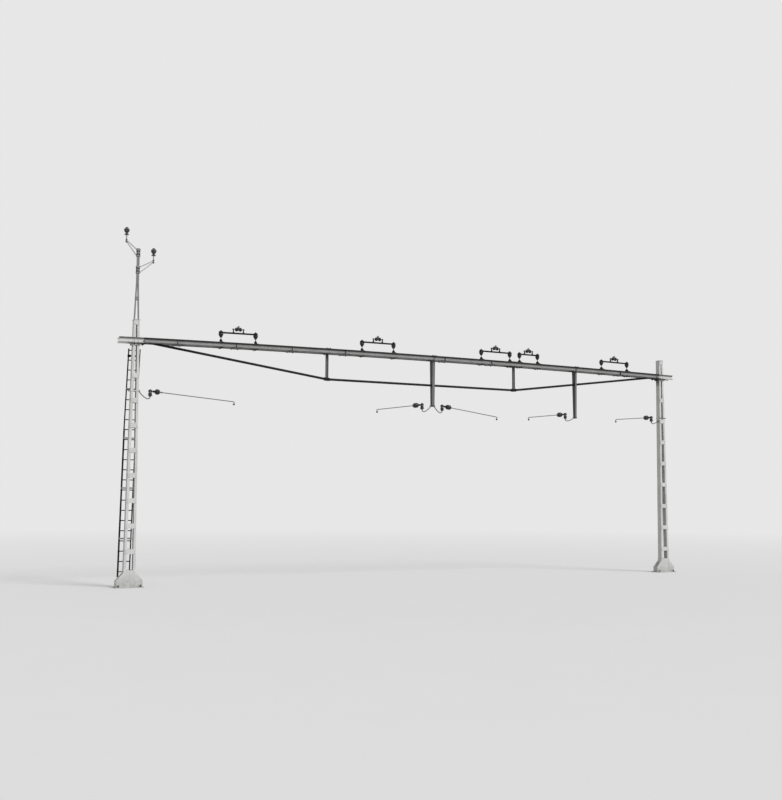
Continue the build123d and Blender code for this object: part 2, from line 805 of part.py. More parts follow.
with BuildPart() as yokes:
    # Strap round a mast, and the pad on its inner web from which the hook starts
    for number, strap_level in yoke_levels.items():
        arm = steady_arms[number]
        mast_place = holders[arm.held_by]
        hook_level = hook_levels[number]
        face_x, _ = hook_root(number)
        inner = face_x - arm.side * yoke_bar_thick
        far = mast_place - arm.side * (mast_half_width(strap_level) + yoke_overrun)
        with BuildSketch(Plane.XY.offset(strap_level - yoke_bar_height / 2)):
            for face in (-1, 1):
                with Locations(((face_x + far) / 2, face * (mast_half_depth + yoke_bar_thick / 2))):
                    Rectangle(abs(face_x - far), yoke_bar_thick)
            with Locations(((face_x + inner) / 2, 0)):
                Rectangle(yoke_bar_thick, 2 * (mast_half_depth + yoke_bar_thick))
        extrude(amount=yoke_bar_height)
        low = hook_level - yoke_pad_rim
        high = max(strap_level + yoke_bar_height / 2, hook_level + yoke_pad_rim)
        with BuildSketch(Plane.XY.offset(low)):
            with Locations(((face_x + inner) / 2, 0)):
                Rectangle(yoke_bar_thick, yoke_pad_width)
        extrude(amount=high - low)
keep(yokes.part, "steady_yokes")

with BuildPart() as stands:
    for arm in steady_arms.values():
        foot = stand_foot(arm)
        with BuildSketch(front_view(stand_place(arm), 0, foot)):
            with BuildLine():
                Polyline((0, 0), (stand_seat_r, 0), (stand_skirt_r, stand_skirt_rise),
                         (stand_waist_r, stand_waist_rise), (stand_shoulder_r, stand_shoulder_rise),
                         (stand_crown_r, stand_height), (0, stand_height), close=True)
            make_face()
        revolve(axis=Axis((stand_place(arm), 0, foot), (0, 0, 1)))
keep(stands.part, "steady_stand_insulators")

with BuildPart() as clevises:
    for arm in steady_arms.values():
        x = stand_place(arm)
        cap_level = stand_foot(arm) + stand_height
        with BuildSketch(Plane.XY.offset(cap_level)):
            with Locations((x, 0)):
                Circle(stand_cap_r)
        extrude(amount=stand_cap_height)
        for face in (-1, 1):
            middle = face * (clevis_slot + clevis_cheek_thick) / 2
            with BuildSketch(front_view(x, middle, arm.pin_level)):
                Circle(clevis_r)
                with Locations((0, -clevis_pin_rise)):
                    Rectangle(2 * clevis_r, clevis_pin_rise, align=(Align.CENTER, Align.MIN))
                # What the circle would leave below the cap's top is cut away
                with Locations((0, -clevis_pin_rise)):
                    Rectangle(2 * clevis_r, clevis_r, align=(Align.CENTER, Align.MAX), mode=Mode.SUBTRACT)
            extrude(amount=clevis_cheek_thick / 2, both=True)
        with BuildSketch(front_view(x, 0, arm.pin_level)):
            Circle(steady_pin_r)
        extrude(amount=clevis_slot / 2 + clevis_cheek_thick + steady_pin_overrun, both=True)
keep(clevises.part, "steady_clevises")


def arm_plane(arm):
    """Plane at an arm's pin, its X along the arm and its Y up, and the length to the rod's end."""
    tip_x = carriers[arm.carrier].place + arm.tip_shift
    run = Vector(tip_x - stand_place(arm), 0, arm.tip_level - arm.pin_level)
    place = (stand_place(arm), 0, arm.pin_level)
    return Plane(origin=place, x_dir=run, z_dir=(0, -arm.side, 0)), run.length


def steady_arm(arm):
    """Tongue and neck on one side of the insulator, cap, rod, turned-down tip and clip on the other."""
    plane, length = arm_plane(arm)
    axis = Axis(plane.origin, plane.x_dir)
    neck_end = tongue_length + arm_neck_length
    rod_start = neck_end + arm_insulator_length
    cap_end = rod_start + arm_cap_length
    rod_end = length - arm_tip_r
    with BuildPart() as piece:
        with BuildSketch(plane):
            Circle(tongue_r)
            with Locations((tongue_length / 2, 0)):
                Rectangle(tongue_length, tongue_height)
            Circle(steady_pin_r + steady_pin_play, mode=Mode.SUBTRACT)
        extrude(amount=tongue_thick / 2, both=True)
        with BuildSketch(plane):
            with BuildLine():
                Polyline((tongue_length, 0), (tongue_length, arm_neck_r), (neck_end, arm_neck_r),
                         (neck_end, 0), close=True)
            make_face()
        revolve(axis=axis)
        with BuildSketch(plane):
            with BuildLine():
                Polyline((rod_start, 0), (rod_start, arm_cap_r), (cap_end, arm_rod_r),
                         (rod_end, arm_rod_r), (rod_end, 0), close=True)
            make_face()
        revolve(axis=axis)
        with BuildLine(plane) as tip:
            JernArc((rod_end, 0), (1, 0), arm_tip_r, -arm_tip_turn)
        bend = tip.wire()
        with BuildSketch(Plane(origin=bend @ 0, z_dir=bend % 0)):
            Circle(arm_rod_r)
        sweep(path=bend)
        clip = Plane(origin=bend @ 1, x_dir=(0, 1, 0), z_dir=bend % 1)
        with BuildSketch(clip):
            Rectangle(arm_clip_depth, arm_clip_width)
        extrude(amount=arm_clip_length)
        # Groove along the tracks in the clip's end
        groove = Plane(origin=(bend @ 1) + (bend % 1) * arm_clip_length, z_dir=(0, 1, 0))
        with BuildSketch(groove):
            Circle(arm_clip_groove_r)
        extrude(amount=arm_clip_depth, both=True, mode=Mode.SUBTRACT)
    return piece.part


def arm_insulator(arm):
    """Egg-shaped porcelain between an arm's neck and its rod."""
    plane, _ = arm_plane(arm)
    start = tongue_length + arm_neck_length
    end = start + arm_insulator_length
    belly_start = (start + end - arm_insulator_belly) / 2
    belly_end = (start + end + arm_insulator_belly) / 2
    with BuildPart() as ball:
        with BuildSketch(plane):
            with BuildLine():
                Polyline((start, 0), (start, arm_neck_r),
                         (start + arm_insulator_shoulder, arm_insulator_shoulder_r),
                         (belly_start, arm_insulator_r), (belly_end, arm_insulator_r),
                         (end - arm_insulator_shoulder, arm_insulator_shoulder_r),
                         (end, arm_cap_r), (end, 0), close=True)
            make_face()
        revolve(axis=Axis(plane.origin, plane.x_dir))
    return ball.part


for arm_number, steady in steady_arms.items():
    keep(steady_arm(steady), f"steady_arm_{arm_number}")
    keep(arm_insulator(steady), f"arm_insulator_{arm_number}")


# Feeder extension
stem_half = leg_join_gap / 2 + leg_width


def leg_outline(side, wall):
    """Front view of one leg: along the mast, leaning inward, then upright; wall trims its outer edge."""
    levels = (leg_foot_level, mast_top, leg_join_level, leg_top_level)
    outer = [(side * (leg_offset(level) + leg_width / 2 - wall), level) for level in levels]
    inner = [(side * (leg_offset(level) - leg_width / 2), level) for level in reversed(levels)]
    with BuildLine() as outline:
        Polyline(*outer, *inner, close=True)
    make_face(outline.edges())


with BuildPart() as extension_legs:
    for side in (-1, 1):
        with BuildSketch(Plane.XZ):
            leg_outline(side, 0.0)
        extrude(amount=leg_depth / 2, both=True)
        with BuildSketch(Plane.XZ):
            leg_outline(side, leg_wall)
        extrude(amount=leg_depth / 2 - leg_wall, both=True, mode=Mode.SUBTRACT)
    # Tie plates across both legs' faces, and the plate that closes the stem's top
    tie_half = leg_offset(leg_tie_level) + leg_width / 2
    for face in (-1, 1):
        with BuildSketch(front_view(0, face * (leg_depth + leg_tie_thick) / 2, leg_tie_level)):
            Rectangle(2 * tie_half, leg_tie_height)
        extrude(amount=leg_tie_thick / 2, both=True)
    with BuildSketch(Plane.XY.offset(leg_top_level)):
        Rectangle(2 * (stem_half + leg_cap_rim), leg_depth + 2 * leg_cap_rim)
    extrude(amount=leg_cap_thick)
keep(extension_legs.part, "extension_legs")

with BuildPart() as bracket_bars:
    for feeder in feeders.values():
        side = -1 if feeder.tip_x < 0 else 1
        inner_x = side * (stem_half + seat_play)
        root_x = inner_x + side * clamp_band_wall / 2
        tips = (feeder.tip_level + bracket_tip_half, feeder.tip_level - bracket_tip_half)
        for level, tip_level in zip((feeder.upper_level, feeder.lower_level), tips):
            with BuildSketch(Plane.XY.offset(level - clamp_band_height / 2)):
                Rectangle(2 * (stem_half + seat_play + clamp_band_wall),
                          leg_depth + 2 * (seat_play + clamp_band_wall))
                Rectangle(2 * (stem_half + seat_play), leg_depth + 2 * seat_play, mode=Mode.SUBTRACT)
            extrude(amount=clamp_band_height)
            run = abs(feeder.tip_x - root_x)
            half = bracket_bar / 2 * hypot(run, tip_level - level) / run
            with BuildSketch(Plane.XZ):
                with BuildLine():
                    Polyline((root_x, level - half), (root_x, level + half),
                             (feeder.tip_x, tip_level + half), (feeder.tip_x, tip_level - half),
                             close=True)
                make_face()
            extrude(amount=bracket_depth / 2, both=True)
        with BuildSketch(Plane((feeder.tip_x, 0, feeder.tip_level - feeder_head_height / 2))):
            Circle(feeder_head_r)
        extrude(amount=feeder_head_height)
        with BuildSketch(Plane((feeder.tip_x, 0, feeder.tip_level))):
            Circle(feeder_pin_r)
        extrude(amount=feeder_head_height / 2 + feeder_pin_height)
keep(bracket_bars.part, "feeder_brackets")

with BuildPart() as feeder_insulators:
    for feeder in feeders.values():
        foot = feeder.tip_level + feeder_head_height / 2 + feeder_pin_height
        with BuildSketch(front_view(feeder.tip_x, 0, foot)):
            with BuildLine():
                Polyline((0, 0), (feeder_waist_r, 0), (feeder_skirt_r, feeder_skirt_rise),
                         (feeder_waist_r, feeder_skirt_top), (feeder_waist_r, feeder_waist_rise),
                         (feeder_bulb_foot_r, feeder_bulb_foot_rise), (feeder_bulb_r, feeder_bulb_rise),
                         (feeder_dome_r, feeder_dome_rise), (feeder_tip_r, feeder_insulator_height),
                         (0, feeder_insulator_height), close=True)
            make_face()
        revolve(axis=Axis((feeder.tip_x, 0, foot), (0, 0, 1)))
keep(feeder_insulators.part, "feeder_insulators")


# Ladder
lower_y = mast_half_depth + batten_thick + ladder_gap
upper_y = lower_y + (ladder_lower_rail[1] + ladder_upper_rail[1]) / 2
lap_start = ladder_lap_level - ladder_lap_length / 2
lap_end = ladder_lap_level + ladder_lap_length / 2
lower_lean = (ladder_lap_x - ladder_foot_x) / (ladder_lap_level - ladder_foot_level)
upper_lean = (ladder_top_x - ladder_lap_x) / (ladder_top_level - ladder_lap_level)


def ladder_rail_x(level):
    """Middle of the ladder's left rail at a level."""
    lean = lower_lean if level < ladder_lap_level else upper_lean
    return ladder_lap_x + lean * (level - ladder_lap_level)


with BuildPart() as ladder:
    # Lower and upper length, each with two rails, side by side along the lap
    lengths = ((ladder_foot_level, lap_end, lower_lean, lower_y, ladder_lower_rail),
               (lap_start, ladder_top_level, upper_lean, upper_y, ladder_upper_rail))
    for start, end, lean, rail_y, section in lengths:
        rise = end - start
        for offset in (0.0, ladder_width):
            with BuildSketch(Plane.XY.offset(start)):
                with Locations((ladder_lap_x + lean * (start - ladder_lap_level) + offset, rail_y)):
                    Rectangle(*section)
            extrude(amount=hypot(rise, lean * rise), dir=(lean * rise, 0, rise))
    rung_count = int((ladder_top_level - ladder_foot_level - ladder_rung_rise) / ladder_rung_pitch)
    for i in range(rung_count + 1):
        level = ladder_foot_level + ladder_rung_rise + i * ladder_rung_pitch
        rung_y = lower_y if level < lap_end else upper_y
        with BuildSketch(Plane((ladder_rail_x(level), rung_y, level), z_dir=(1, 0, 0))):
            Circle(ladder_rung_r)
        extrude(amount=ladder_width)
keep(ladder.part, "ladder")

with BuildPart() as ladder_ties:
    middle = batten_first["left"] + batten_pitch["left"] / 2
    for level in [middle + bay * batten_pitch["left"] for bay in ladder_tie_bays] + [ladder_head_tie]:
        rail_width, rail_depth = ladder_lower_rail if level < ladder_lap_level else ladder_upper_rail
        rail_y = lower_y if level < ladder_lap_level else upper_y
        far = rail_y - rail_depth / 2
        arm_place = mast_half_width(level) - mast_flange / 2
        left = ladder_rail_x(level) - rail_width / 2
        right = max(left + ladder_width + rail_width, arm_place + ladder_tie_thick / 2)
        with BuildSketch(front_view((left + right) / 2, far - ladder_tie_thick / 2, level)):
            Rectangle(right - left, ladder_tie_height)
        extrude(amount=ladder_tie_thick / 2, both=True)
        for side in (-1, 1):
            with BuildSketch(Plane((side * arm_place, mast_half_depth, level), z_dir=(0, 1, 0))):
                Rectangle(ladder_tie_thick, ladder_tie_height)
            extrude(amount=far - ladder_tie_thick - mast_half_depth)
keep(ladder_ties.part, "ladder_brackets")
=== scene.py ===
"""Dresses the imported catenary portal: finishes, porcelain, rivets, bolts and a plain pale studio."""
import json
import logging
import math
from collections.abc import Iterable, Sequence
from dataclasses import dataclass, field
from enum import Enum

import bmesh
import bpy
from mathutils import Matrix, Vector


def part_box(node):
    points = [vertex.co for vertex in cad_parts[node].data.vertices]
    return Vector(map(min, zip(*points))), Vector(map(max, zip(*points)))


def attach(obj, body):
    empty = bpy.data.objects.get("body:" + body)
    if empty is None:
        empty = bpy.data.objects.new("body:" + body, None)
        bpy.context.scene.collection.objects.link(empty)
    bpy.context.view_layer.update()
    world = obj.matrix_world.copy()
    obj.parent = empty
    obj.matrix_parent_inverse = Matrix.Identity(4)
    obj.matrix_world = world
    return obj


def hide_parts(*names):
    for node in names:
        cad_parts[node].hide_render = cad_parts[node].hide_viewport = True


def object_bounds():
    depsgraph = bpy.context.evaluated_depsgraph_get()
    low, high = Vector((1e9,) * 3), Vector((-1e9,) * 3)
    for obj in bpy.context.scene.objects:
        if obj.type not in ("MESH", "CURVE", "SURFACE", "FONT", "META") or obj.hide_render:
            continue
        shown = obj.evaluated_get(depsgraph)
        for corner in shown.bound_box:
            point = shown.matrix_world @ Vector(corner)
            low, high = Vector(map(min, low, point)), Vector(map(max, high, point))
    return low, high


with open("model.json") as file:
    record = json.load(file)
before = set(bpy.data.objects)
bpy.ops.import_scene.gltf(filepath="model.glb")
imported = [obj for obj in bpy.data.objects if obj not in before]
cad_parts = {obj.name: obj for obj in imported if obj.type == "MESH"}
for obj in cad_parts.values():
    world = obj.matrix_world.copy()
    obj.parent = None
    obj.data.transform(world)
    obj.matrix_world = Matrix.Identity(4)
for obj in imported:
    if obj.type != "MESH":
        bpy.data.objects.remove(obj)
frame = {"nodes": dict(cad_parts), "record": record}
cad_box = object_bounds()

log = logging.getLogger("portal")
Colour = tuple[float, float, float]
Size = tuple[float, float, float]
Outline = tuple[tuple[float, float], ...]
Socket = bpy.types.NodeSocket
Value = Socket | float | Colour
Pattern = bmesh.types.BMesh
Batch = tuple[Pattern, Iterable[Matrix]]
BODY = "portal"
BOTH = (-1, 1)


class Slot(Enum):
    """Material slots of the record."""

    MAST = "white_paint"
    BEAM = "beam_paint"
    CAST = "dark_steel"
    STEEL = "galvanised_steel"
    PORCELAIN = "brown_porcelain"
    LADDER = "ladder_paint"
    EXTENSION = "extension_paint"


def move(x: float, y: float, z: float) -> Matrix:
    """Place at a point, with the axes of the portal."""
    return Matrix.Translation((x, y, z))


def facing(place: Sequence[float], direction: Sequence[float]) -> Matrix:
    """Place at a point with Z along a direction."""
    return Matrix.Translation(place) @ Vector(direction).to_track_quat("Z", "Y").to_matrix().to_4x4()


def outward(x: float, y: float, z: float) -> Matrix:
    """Place on a face that looks along the tracks, Z away from the middle plane."""
    return facing((x, y, z), (0, math.copysign(1, y), 0))


def axes(along: Vector, across: Vector, place: Sequence[float]) -> Matrix:
    """Place at a point with X and Y along two directions that are square to each other."""
    return Matrix.Translation(place) @ Matrix((along, across, along.cross(across))).transposed().to_4x4()


@dataclass
class Portal:
    """Main levels and lines of the portal, in metres, that every sub-assembly takes its places from."""

    base_top: float = 0.03
    mast_foot_width: float = 0.4
    mast_top_width: float = 0.196
    mast_depth: float = 0.22
    beam_camber: float = 0.1
    beam_height: float = 0.18
    beam_half_gap: float = 0.122
    beam_web: float = 0.008
    beam_flange: float = 0.07
    flange_thick: float = 0.011
    fit_gap: float = 0.0003
    truss_places: tuple[float, float] = (6.8706, 14.7598)
    span: float = field(init=False)
    mast_top: float = field(init=False)
    beam_top: float = field(init=False)

    def __post_init__(self) -> None:
        """Read span, mast top and beam top from the frame."""
        low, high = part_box("right_base_plate")
        self.span = (low.x + high.x) / 2
        self.mast_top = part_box("left_mast_outer_channel")[1].z
        self.beam_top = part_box("beam_front_channel")[1].z - self.beam_camber

    def camber_radius(self) -> float:
        """Radius of the arc that the beam's top edge follows."""
        return (self.span / 2) ** 2 / (2 * self.beam_camber) + self.beam_camber / 2

    def beam_level(self, x: float) -> float:
        """Height of the beam's top edge at x."""
        radius = self.camber_radius()
        return self.beam_top + self.beam_camber - radius + math.sqrt(radius**2 - (x - self.span / 2) ** 2)

    def mast_half_width(self, level: float) -> float:
        """Half of a mast's width in X at a level."""
        share = (level - self.base_top) / (self.mast_top - self.base_top)
        return (self.mast_foot_width + share * (self.mast_top_width - self.mast_foot_width)) / 2

    def seat(self, x: float, rise: float = 0.0) -> Matrix:
        """Find a place on the beam's top edge, Z square to the beam.

        Args:
            x: Place along the beam.
            rise: Distance above the edge, or below it where negative.

        Returns:
            The matrix of that place, its X along the beam.
        """
        lean = math.asin((self.span / 2 - x) / self.camber_radius())
        return move(x, 0, self.beam_level(x)) @ Matrix.Rotation(-lean, 4, "Y") @ move(0, 0, rise)

    def flange_middle(self) -> float:
        """Distance of the middle of the beam's flanges from the middle plane."""
        return self.beam_half_gap + (self.beam_web + self.beam_flange) / 2

    def web_face(self) -> float:
        """Distance of the outer faces of the beam's webs from the middle plane."""
        return self.beam_half_gap + self.beam_web


def shade(colour: Colour, factor: float) -> Colour:
    """Make a colour darker or lighter by a factor, up to white."""
    return tuple(min(1.0, factor * channel) for channel in colour)


class Nodes:
    """Adds and joins the nodes of one shader tree."""

    def __init__(self, tree: bpy.types.NodeTree) -> None:
        """Start with the tree emptied."""
        self.tree = tree
        tree.nodes.clear()

    def feed(self, socket: Socket, value: Value) -> None:
        """Join a socket to another one, or set its number, colour or vector.

        Args:
            socket: The input to fill.
            value: An output socket, a number, or the three numbers of a colour or a vector.
        """
        if isinstance(value, Socket):
            self.tree.links.new(value, socket)
        elif isinstance(value, tuple):
            socket.default_value = (*value, 1.0)[:len(socket.default_value)]
        else:
            socket.default_value = value

    def add(self, kind: str, **inputs: Value) -> bpy.types.Node:
        """Add a node and fill its inputs.

        Args:
            kind: The node's type, without the ShaderNode that each type begins with.
            inputs: What the inputs take, by their names with an underscore for a space.

        Returns:
            The node.
        """
        node = self.tree.nodes.new("ShaderNode" + kind)
        for name, value in inputs.items():
            self.feed(node.inputs[name.replace("_", " ")], value)
        return node

    def math(self, kind: str, first: Value, *others: Value) -> Value:
        """Work out a sum from its first value to its last.

        Args:
            kind: The Math node's operation, such as SUBTRACT.
            first: First value.
            others: The values that follow, each with a step of its own.

        Returns:
            The result.
        """
        for value in others:
            node = self.add("Math")
            node.operation = kind
            self.feed(node.inputs[0], first)
            self.feed(node.inputs[1], value)
            first = node.outputs["Value"]
        return first

    def product(self, *values: Value) -> Value:
        """Product of several values."""
        return self.math("MULTIPLY", *values)

    def most(self, *values: Value) -> Value:
        """Largest of several values."""
        return self.math("MAXIMUM", *values)

    def size(self, value: Value) -> Value:
        """Value without its sign."""
        return self.math("ABSOLUTE", value, 0.0)

    def seen(self) -> Value:
        """Share that is 1 for rays from the camera, from gloss and through glass, and else 0."""
        rays = self.add("LightPath").outputs
        return self.most(rays["Is Camera Ray"], rays["Is Glossy Ray"], rays["Is Transmission Ray"])

    def choose(self, share: Value, first: Socket, second: Socket) -> Socket:
        """Mix two shaders.

        Args:
            share: How much of the second one shows, from 0 to 1.
            first: The first shader.
            second: The second shader.

        Returns:
            The mixed shader.
        """
        node = self.add("MixShader", Fac=share)
        self.feed(node.inputs[1], first)
        self.feed(node.inputs[2], second)
        return node.outputs["Shader"]


class Sheet(Nodes):
    """Nodes of one finish; every pattern reads Object coordinates in metres."""

    def __init__(self, name: str) -> None:
        """Start an empty material.

        Args:
            name: The material's name.
        """
        self.material = bpy.data.materials.new(name)
        self.material.use_nodes = True
        super().__init__(self.material.node_tree)
        self.shader = self.add("BsdfPrincipled")
        self.output = self.add("OutputMaterial", Surface=self.shader.outputs["BSDF"])
        self.place = self.add("TexCoord").outputs["Object"]
        self.along, self.across, self.height = self.add("SeparateXYZ", Vector=self.place).outputs

    def noise(self, scale: float, detail: float = 4.0, stretch: Size = (1.0, 1.0, 1.0)) -> Socket:
        """Add a cloudy value from 0 to 1.

        Args:
            scale: Clouds per metre.
            detail: Number of finer layers.
            stretch: Factors on X, Y and Z; a small one draws the clouds out along that axis.

        Returns:
            The noise's factor.
        """
        spread = self.add("Mapping", Vector=self.place, Scale=stretch).outputs["Vector"]
        return self.add("TexNoise", Vector=spread, Scale=scale, Detail=detail, Roughness=0.6).outputs["Fac"]

    def band(self, value: Value, low: float, high: float, start: float = 0.0, end: float = 1.0) -> Socket:
        """Map the stretch from low to high of a value onto start to end, and hold it outside.

        Args:
            value: The value that is mapped.
            low: Where the stretch starts.
            high: Where it ends.
            start: Result at low.
            end: Result at high.

        Returns:
            The mapped value.
        """
        node = self.add("MapRange", Value=value, From_Min=low, From_Max=high, To_Min=start, To_Max=end)
        return node.outputs["Result"]

    def above(self, value: Value, level: float, blend: float) -> Socket:
        """Share that rises from 0 at a level to 1 a blend above it."""
        return self.band(value, level, level + blend)

    def below(self, value: Value, level: float, blend: float) -> Socket:
        """Share that falls from 1 at a level to 0 a blend above it."""
        return self.band(value, level, level + blend, 1.0, 0.0)

    def clouds(self, scale: float, detail: float, low: float, high: float, start: float = 0.0,
               end: float = 1.0) -> Socket:
        """Map the stretch from low to high of a cloudy value onto start to end.

        Args:
            scale: Clouds per metre.
            detail: Number of finer layers.
            low: Where the stretch starts.
            high: Where it ends.
            start: Result at low.
            end: Result at high.

        Returns:
            The mapped value.
        """
        return self.band(self.noise(scale, detail), low, high, start, end)

    def mix(self, share: Value, under: Socket | Colour, over: Socket | Colour) -> Socket:
        """Lay one colour over another.

        Args:
            share: How much of the upper colour shows, from 0 to 1.
            under: The lower colour.
            over: The upper colour.

        Returns:
            The mixed colour.
        """
        node = self.add("Mix")
        node.data_type = "RGBA"
        for index, value in ((0, share), (6, under), (7, over)):
            self.feed(node.inputs[index], value)
        return node.outputs[2]

    def looking(self, axis: str, sense: int) -> Socket:
        """Find the share by which a face looks along an axis.

        Args:
            axis: X, Y or Z.
            sense: 1 for faces that look along it, -1 for faces that look the other way.

        Returns:
            The share, from 0 on faces beside the axis to 1 on faces square to it.
        """
        normal = self.add("NewGeometry").outputs["True Normal"]
        return self.band(self.add("SeparateXYZ", Vector=normal).outputs[axis], 0.2 * sense, 0.9 * sense)

    def finish(self, colour: Socket, roughness: Value, relief: Value, depth: float) -> bpy.types.Material:
        """Join colour, roughness and relief to the shader.

        Args:
            colour: The surface's colour.
            roughness: The surface's roughness.
            relief: Height pattern from 0 to 1.
            depth: Height of the relief in metres.

        Returns:
            The finished material.
        """
        bump = self.add("Bump", Strength=0.6, Distance=depth, Height=relief)
        surface = {"Base Color": colour, "Roughness": roughness, "Normal": bump.outputs["Normal"]}
        for name, value in surface.items():
            self.feed(self.shader.inputs[name], value)
        return self.material


@dataclass(frozen=True)
class Paint:
    """Weathered paint: cloudy tone, rain streaks, specks of rust, dust on top, painted shade below and on
    faces that look to -X.
    """

    portal: Portal
    slot: Slot
    colour: Colour
    grime_and_shade: Colour = (0.16, 0.155, 0.145)
    rust: Colour = (0.13, 0.085, 0.06)
    roughness: float = 0.55
    gloss: float = 0.4
    streaks: float = 0.3
    streak_stretch: Size = (1.0, 1.0, 0.05)
    rust_share: float = 0.3
    underside_shade: float = 0.45
    left_face_shade: float = 0.0
    shade_tone: float = 0.3
    dust: float = 0.3
    splash: float = 0.0
    relief: float = 0.0006

    def base(self, sheet: Sheet) -> Socket:
        """Lay the paint's own tone.

        Args:
            sheet: The finish's shader nodes.

        Returns:
            The colour before any weathering.
        """
        return sheet.mix(sheet.clouds(1.7, 5.0, 0.3, 0.7), shade(self.colour, 0.86), shade(self.colour, 1.1))

    def beam_depth(self, sheet: Sheet) -> Value:
        """Measure the depth below the beam's cambered top edge.

        Args:
            sheet: The finish's shader nodes.

        Returns:
            The depth, negative above the beam.
        """
        middle = self.portal.span / 2
        offset = sheet.math("DIVIDE", sheet.math("SUBTRACT", sheet.along, middle), middle)
        drop = sheet.product(offset, offset, self.portal.beam_camber)
        return sheet.math("SUBTRACT", self.portal.beam_top + self.portal.beam_camber, drop, sheet.height)

    def material(self) -> bpy.types.Material:
        """Lay the tone, all the weathering and the painted shade.

        Returns:
            The paint's material.
        """
        sheet = Sheet(self.slot.value)
        colour = self.base(sheet)
        streaks = sheet.band(sheet.noise(26.0, 4.0, self.streak_stretch), 0.52, 0.78, 0.0, self.streaks)
        colour = sheet.mix(streaks, colour, self.grime_and_shade)
        flecks = sheet.clouds(34.0, 6.0, 0.66, 0.72, 0.0, self.rust_share)
        colour = sheet.mix(flecks, colour, self.rust)
        dust = sheet.product(sheet.looking("Z", 1), sheet.clouds(6.0, 4.0, 0.35, 0.7, 0.05, self.dust))
        colour = sheet.mix(dust, colour, self.grime_and_shade)
        # Painted shade: faces that look down and faces that look to -X are darkened towards a dark tone of
        # the grime colour.
        under = sheet.product(sheet.looking("Z", -1), self.underside_shade)
        beside = sheet.product(sheet.looking("X", -1), self.left_face_shade)
        colour = sheet.mix(sheet.most(under, beside), colour, shade(self.grime_and_shade, self.shade_tone))
        if self.splash:
            low = sheet.below(sheet.height, 0.0, self.splash)
            dirt = sheet.product(low, sheet.clouds(9.0, 5.0, 0.3, 0.65, 0.1, 0.6))
            colour = sheet.mix(dirt, colour, self.grime_and_shade)
        rough = sheet.clouds(18.0, 4.0, 0.3, 0.7, self.roughness - 0.08, self.roughness + 0.12)
        relief = sheet.math("ADD", sheet.noise(220.0, 3.0), sheet.product(flecks, 1.5))
        sheet.shader.inputs["Specular IOR Level"].default_value = self.gloss
        return sheet.finish(colour, rough, relief, self.relief)


@dataclass(frozen=True)
class MastPaint(Paint):
    """Pale paint of the masts, with the beam's shadow painted on their -X faces just below it, and the right
    mast's dark strap.
    """

    slot: Slot = Slot.MAST
    colour: Colour = (0.72, 0.72, 0.705)
    streaks: float = 0.26
    left_face_shade: float = 0.12
    splash: float = 0.45
    dark_tone: float = 0.35
    beam_shadow_from: float = 7.72
    beam_shadow_to: float = 8.05
    beam_shadow_share: float = 0.95
    beam_shadow_end: float = 8.08
    strap_level: float = 6.415
    strap_half: float = 0.0151
    strap_from: float = 20.0

    def base(self, sheet: Sheet) -> Socket:
        """Lay the tone, the painted shadow of the beam and the dark strap.

        Args:
            sheet: The finish's shader nodes.

        Returns:
            The colour before any weathering.
        """
        # Painted shadow of the beam: the -X faces from just below the beam down some 0.35 m are darkened.
        patch = sheet.product(
            sheet.band(sheet.height, self.beam_shadow_from, self.beam_shadow_to, 0.0, self.beam_shadow_share),
            sheet.below(sheet.height, self.beam_shadow_end, 0.02), sheet.looking("X", -1))
        off_level = sheet.size(sheet.math("SUBTRACT", sheet.height, self.strap_level))
        mast_face = self.portal.mast_depth / 2 + self.portal.fit_gap
        strap = sheet.product(sheet.below(off_level, self.strap_half, 0.0004),
                              sheet.above(sheet.size(sheet.across), mast_face, 0.0003),
                              sheet.above(sheet.along, self.strap_from, 0.1))
        return sheet.mix(sheet.most(patch, strap), super().base(sheet), shade(self.grime_and_shade, self.dark_tone))


